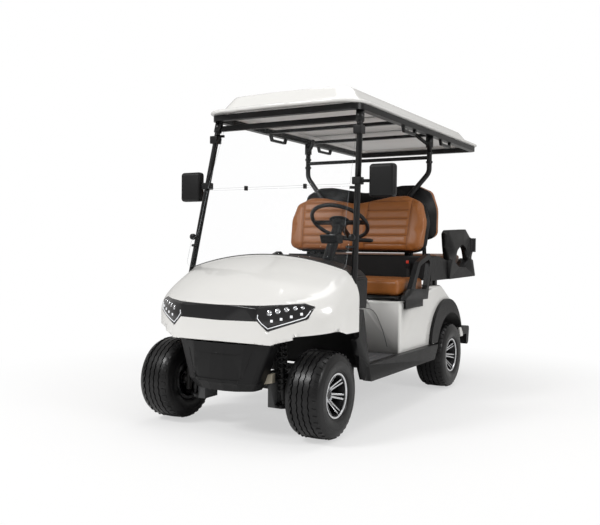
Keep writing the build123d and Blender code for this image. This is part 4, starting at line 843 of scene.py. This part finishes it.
def sew(name, piece, body, places, inward, groove=0.004, reach=0.010, thread=0.0011):
    """Pull the cover in along a run of places and lay the stitching in the groove, dark as thread and as
    painted shade of the groove.
    """
    surface = []
    for place in places:
        hit, spot, normal, _ = piece.ray_cast(Vector(place) - inward * 0.3, inward)
        if hit:
            surface.append(spot)
    if len(surface) < 2:
        return
    flat = np.empty(len(piece.data.vertices) * 3)
    piece.data.vertices.foreach_get("co", flat)
    points = flat.reshape(-1, 3)
    low = np.min([spot[:] for spot in surface], axis=0) - 3 * reach
    high = np.max([spot[:] for spot in surface], axis=0) + 3 * reach
    near = np.nonzero(np.all((points > low) & (points < high), axis=1))[0]
    distance = np.full(len(near), 1.0)
    for start, end in zip(surface, surface[1:]):
        start, along = np.array(start), np.array(end - start)
        share = np.clip((points[near] - start) @ along / max(along @ along, 1e-12), 0, 1)
        gap = np.linalg.norm(points[near] - start - share[:, None] * along, axis=1)
        distance = np.minimum(distance, gap)
    points[near] += np.exp(-1.6 * (distance / reach) ** 2)[:, None] * np.array(inward) * groove
    piece.data.vertices.foreach_set("co", points.ravel())
    piece.data.update()
    wire(name, [spot + inward * (groove - thread * 0.5) for spot in surface], thread, hide_thread, body,
         sides=1)


def run_between(start, end, count):
    """Places spaced evenly along a straight line."""
    return [Vector(start).lerp(Vector(end), i / (count - 1)) for i in range(count)]


front_back = cushion("front_back_pad", "front_backrest_cushion", "body", 0.012)
rear_back = cushion("rear_back_pad", "rear_backrest_cushion", "body", 0.012)
front_seat = cushion("front_seat_pad", "front_seat_cushion", "front_seat", 0.008)
rear_seat = cushion("rear_seat_pad", "rear_seat_cushion", "rear_seat", 0.007)
panel_inner = 0.092            # a backrest panel's edges, out from the middle
panel_outer = 0.404
channel_levels = [1.002, 1.059, 1.116, 1.173, 1.231, 1.291]
rear_rise = 0.083              # the rear backrest's channels above the front's
welt_top = 1.318
welt = {"groove": 0.005, "reach": 0.013}
backward = Vector((0, 1, 0))
forward = Vector((0, -1, 0))
downward = Vector((0, 0, -1))
for side, label in ((1, "left"), (-1, "right")):
    start, end = side * panel_inner, side * (panel_outer - 0.012)
    for i, level in enumerate(channel_levels):
        high = level + rear_rise
        sew(f"back_channel_{label}_{i}", front_back, "body",
            run_between((start, 0.20, level), (end, 0.20, level), 16), backward)
        sew(f"rear_channel_{label}_{i}", rear_back, "body",
            run_between((start, 0.50, high), (end, 0.50, high), 16), forward)
    for edge_name, edge_x, lean in (("inner", panel_inner, 0.006), ("outer", panel_outer, 0.010)):
        foot, head = side * (edge_x - lean), side * (edge_x + lean)
        sew(f"back_welt_{edge_name}_{label}", front_back, "body",
            run_between((foot, 0.20, 0.955), (head, 0.20, welt_top), 22), backward, **welt)
        sew(f"rear_welt_{edge_name}_{label}", rear_back, "body",
            run_between((foot, 0.50, 1.036), (head, 0.50, welt_top + rear_rise), 22), forward, **welt)
    sew(f"seat_welt_{label}", front_seat, "front_seat",
        run_between((side * 0.405, -0.245, 0.75), (side * 0.385, 0.20, 0.75), 20), downward, **welt)
    sew(f"rear_seat_welt_{label}", rear_seat, "rear_seat",
        run_between((side * 0.360, 0.61, 0.9), (side * 0.360, 1.12, 0.9), 20), downward, **welt)
    for i in range(5):
        back = -0.16 + 0.07 * i
        sew(f"seat_channel_{label}_{i}", front_seat, "front_seat",
            run_between((side * 0.035, back, 0.75), (side * 0.385, back, 0.75), 14), downward, groove=0.003)
        back = 0.70 + 0.08 * i
        sew(f"rear_seat_channel_{label}_{i}", rear_seat, "rear_seat",
            run_between((side * 0.035, back, 0.9), (side * 0.345, back, 0.9), 14), downward, groove=0.003)
sew("back_middle_seam", front_back, "body",
    run_between((0.0, 0.20, 0.955), (0.0, 0.20, 1.300), 18), backward)
for node, body, slot, angle in (
    ("front_seat_board", "front_seat", "board", 35),
    ("rear_seat_board", "rear_seat", "board", 35),
    ("backrest_shells", "body", "black_plastic", 45),
    ("rear_seat_base", "body", "black_steel", 30),
    ("hip_restraints", "body", "black_plastic", 40),
    ("rear_armrests", "body", "black_plastic", 40),
):
    recast(node, body, moulded_black, angle)
belt_web = finish("belt_web", (0.012, 0.012, 0.013), 0.8, mottle=0.2, grain=2400, depth=0.5)
buckle_red = finish("buckle_red", (0.60, 0.030, 0.012), 0.3, mottle=0.05, grain=200, depth=0.05, coat=0.4)
belt_x = 0.397
for side, label in ((1, "left"), (-1, "right")):
    x = side * belt_x
    for name, half, y_range, z_range, material, slot, edge in (
        ("stalk", 0.010, (0.218, 0.224), (0.700, 0.860), belt_web, "black_plastic", 0.002),
        ("buckle", 0.014, (0.210, 0.228), (0.842, 0.892), moulded_black, "black_plastic", 0.004),
        ("button", 0.009, (0.2075, 0.216), (0.874, 0.8935), buckle_red, "red_lens", 0.0015),
    ):
        rounded_block(f"belt_{name}_{label}", (x - half, y_range[0], z_range[0]),
                      (x + half, y_range[1], z_range[1]), material, "body", edge=edge)


# ---------------------------------------------------------------- struts, windshield and roof
# Black powder-coated tubes with clamps and knobs, two clear acrylic panes folded at the middle, a
# moulded roof on its steel perimeter.
powder_black = finish("powder_black", (0.006, 0.006, 0.0065), 0.32, mottle=0.15, grain=600, depth=0.12,
                      level=0.32)
for node in ("front_struts", "rear_struts", "roof_frame", "grab_handles"):
    recast(node, "body", powder_black, 40)
roof_voxel = 0.0105
roof = recast("roof_shell", "body", body_white, 50)
modify(roof, "REMESH", mode="VOXEL", voxel_size=roof_voxel)
modify(roof, "SMOOTH", factor=0.5, iterations=6)
one_material(roof, body_white)
smooth(roof, 60)


def clear_plastic(name, colour, roughness, alpha, level=0.5):
    """Colourless plastic that light passes, with just enough surface to catch it."""
    plastic = bpy.data.materials.new(name)
    plastic.use_nodes = True
    shader = plastic.node_tree.nodes["Principled BSDF"]
    shader.inputs["Base Color"].default_value = (*colour, 1)
    shader.inputs["Roughness"].default_value = roughness
    shader.inputs["Alpha"].default_value = alpha
    shader.inputs["Specular IOR Level"].default_value = level
    return plastic


edge_face_area = 0.05          # the panes' edges are smaller faces than this
clear_acrylic = clear_plastic("clear_acrylic", (0.55, 0.60, 0.62), 0.02, 0.010, level=0.14)
acrylic_edge = clear_plastic("acrylic_edge", (0.42, 0.46, 0.48), 0.15, 0.55)
for node in ("windshield_upper", "windshield_lower"):
    pane = recast(node, "body", clear_acrylic, 30)
    pane.data.materials.append(acrylic_edge)
    for face in pane.data.polygons:
        on_edge = abs(face.normal.y) < 0.35 and face.area < edge_face_area
        face.material_index = 1 if on_edge else 0
fold_x = 0.198
for side, label in ((1, "left"), (-1, "right")):
    turned(f"pane_knob_{label}", [
        (0, 0), (0, 0.007), (0.35, 0.007), (0.4, 0.016), (0.55, 0.019), (0.9, 0.017), (1.0, 0.010), (1.0, 0),
    ], (side * 0.524, -0.872, 1.030), (side * 0.530, -0.915, 1.032), powder_black, "body")
    rounded_block(f"fold_clip_{label}", (side * fold_x - 0.007, -0.838, 1.303),
                  (side * fold_x + 0.007, -0.816, 1.330), powder_black, "body", edge=0.002)
recast("mirrors", "body", moulded_black, 45)
mirror_face = finish("mirror_face", (0.85, 0.86, 0.88), 0.04, metal=1.0, mottle=0.01, depth=0.0,
                     swing=0.01)
recast("mirror_glasses", "body", mirror_face)
collar_x = 0.472
collar_y = 0.393
collar_half = 0.008
brace_line = [
    # across, along, up
    (0.468, 0.386, 1.676), (0.440, 0.372, 1.700), (0.412, 0.350, 1.725), (0.392, 0.322, 1.748),
]
for side, label in ((1, "left"), (-1, "right")):
    for i, level in enumerate((1.561, 1.620)):
        turned(f"strut_collar_{label}_{i}", [(0, 0.0168), (0.1, 0.0225), (0.9, 0.0225), (1.0, 0.0168)],
               (side * collar_x, collar_y, level - collar_half),
               (side * collar_x, collar_y, level + collar_half), powder_black, "body")
    wire(f"roof_brace_{label}", [Vector((side * x, y, z)) for x, y, z in brace_line], 0.012, powder_black,
         "body")
# Panels under the roof, grey as painted shade of the roof's underside.
lining_painted_shade_grey = finish("lining_painted_shade_grey", (0.74, 0.74, 0.73), 0.6, mottle=0.04, patch=5, grain=700, depth=0.2)
lining_half = 0.440
lining_low = 1.790
lining_high = 1.796
lining_runs = [("front", -0.700, -0.200), ("middle", -0.160, 0.374), ("rear", 0.412, 1.300)]
for name, y_low, y_high in lining_runs:
    rounded_block(f"roof_lining_{name}", (-lining_half, y_low, lining_low),
                  (lining_half, y_high, lining_high), lining_painted_shade_grey, "body", edge=0.002)
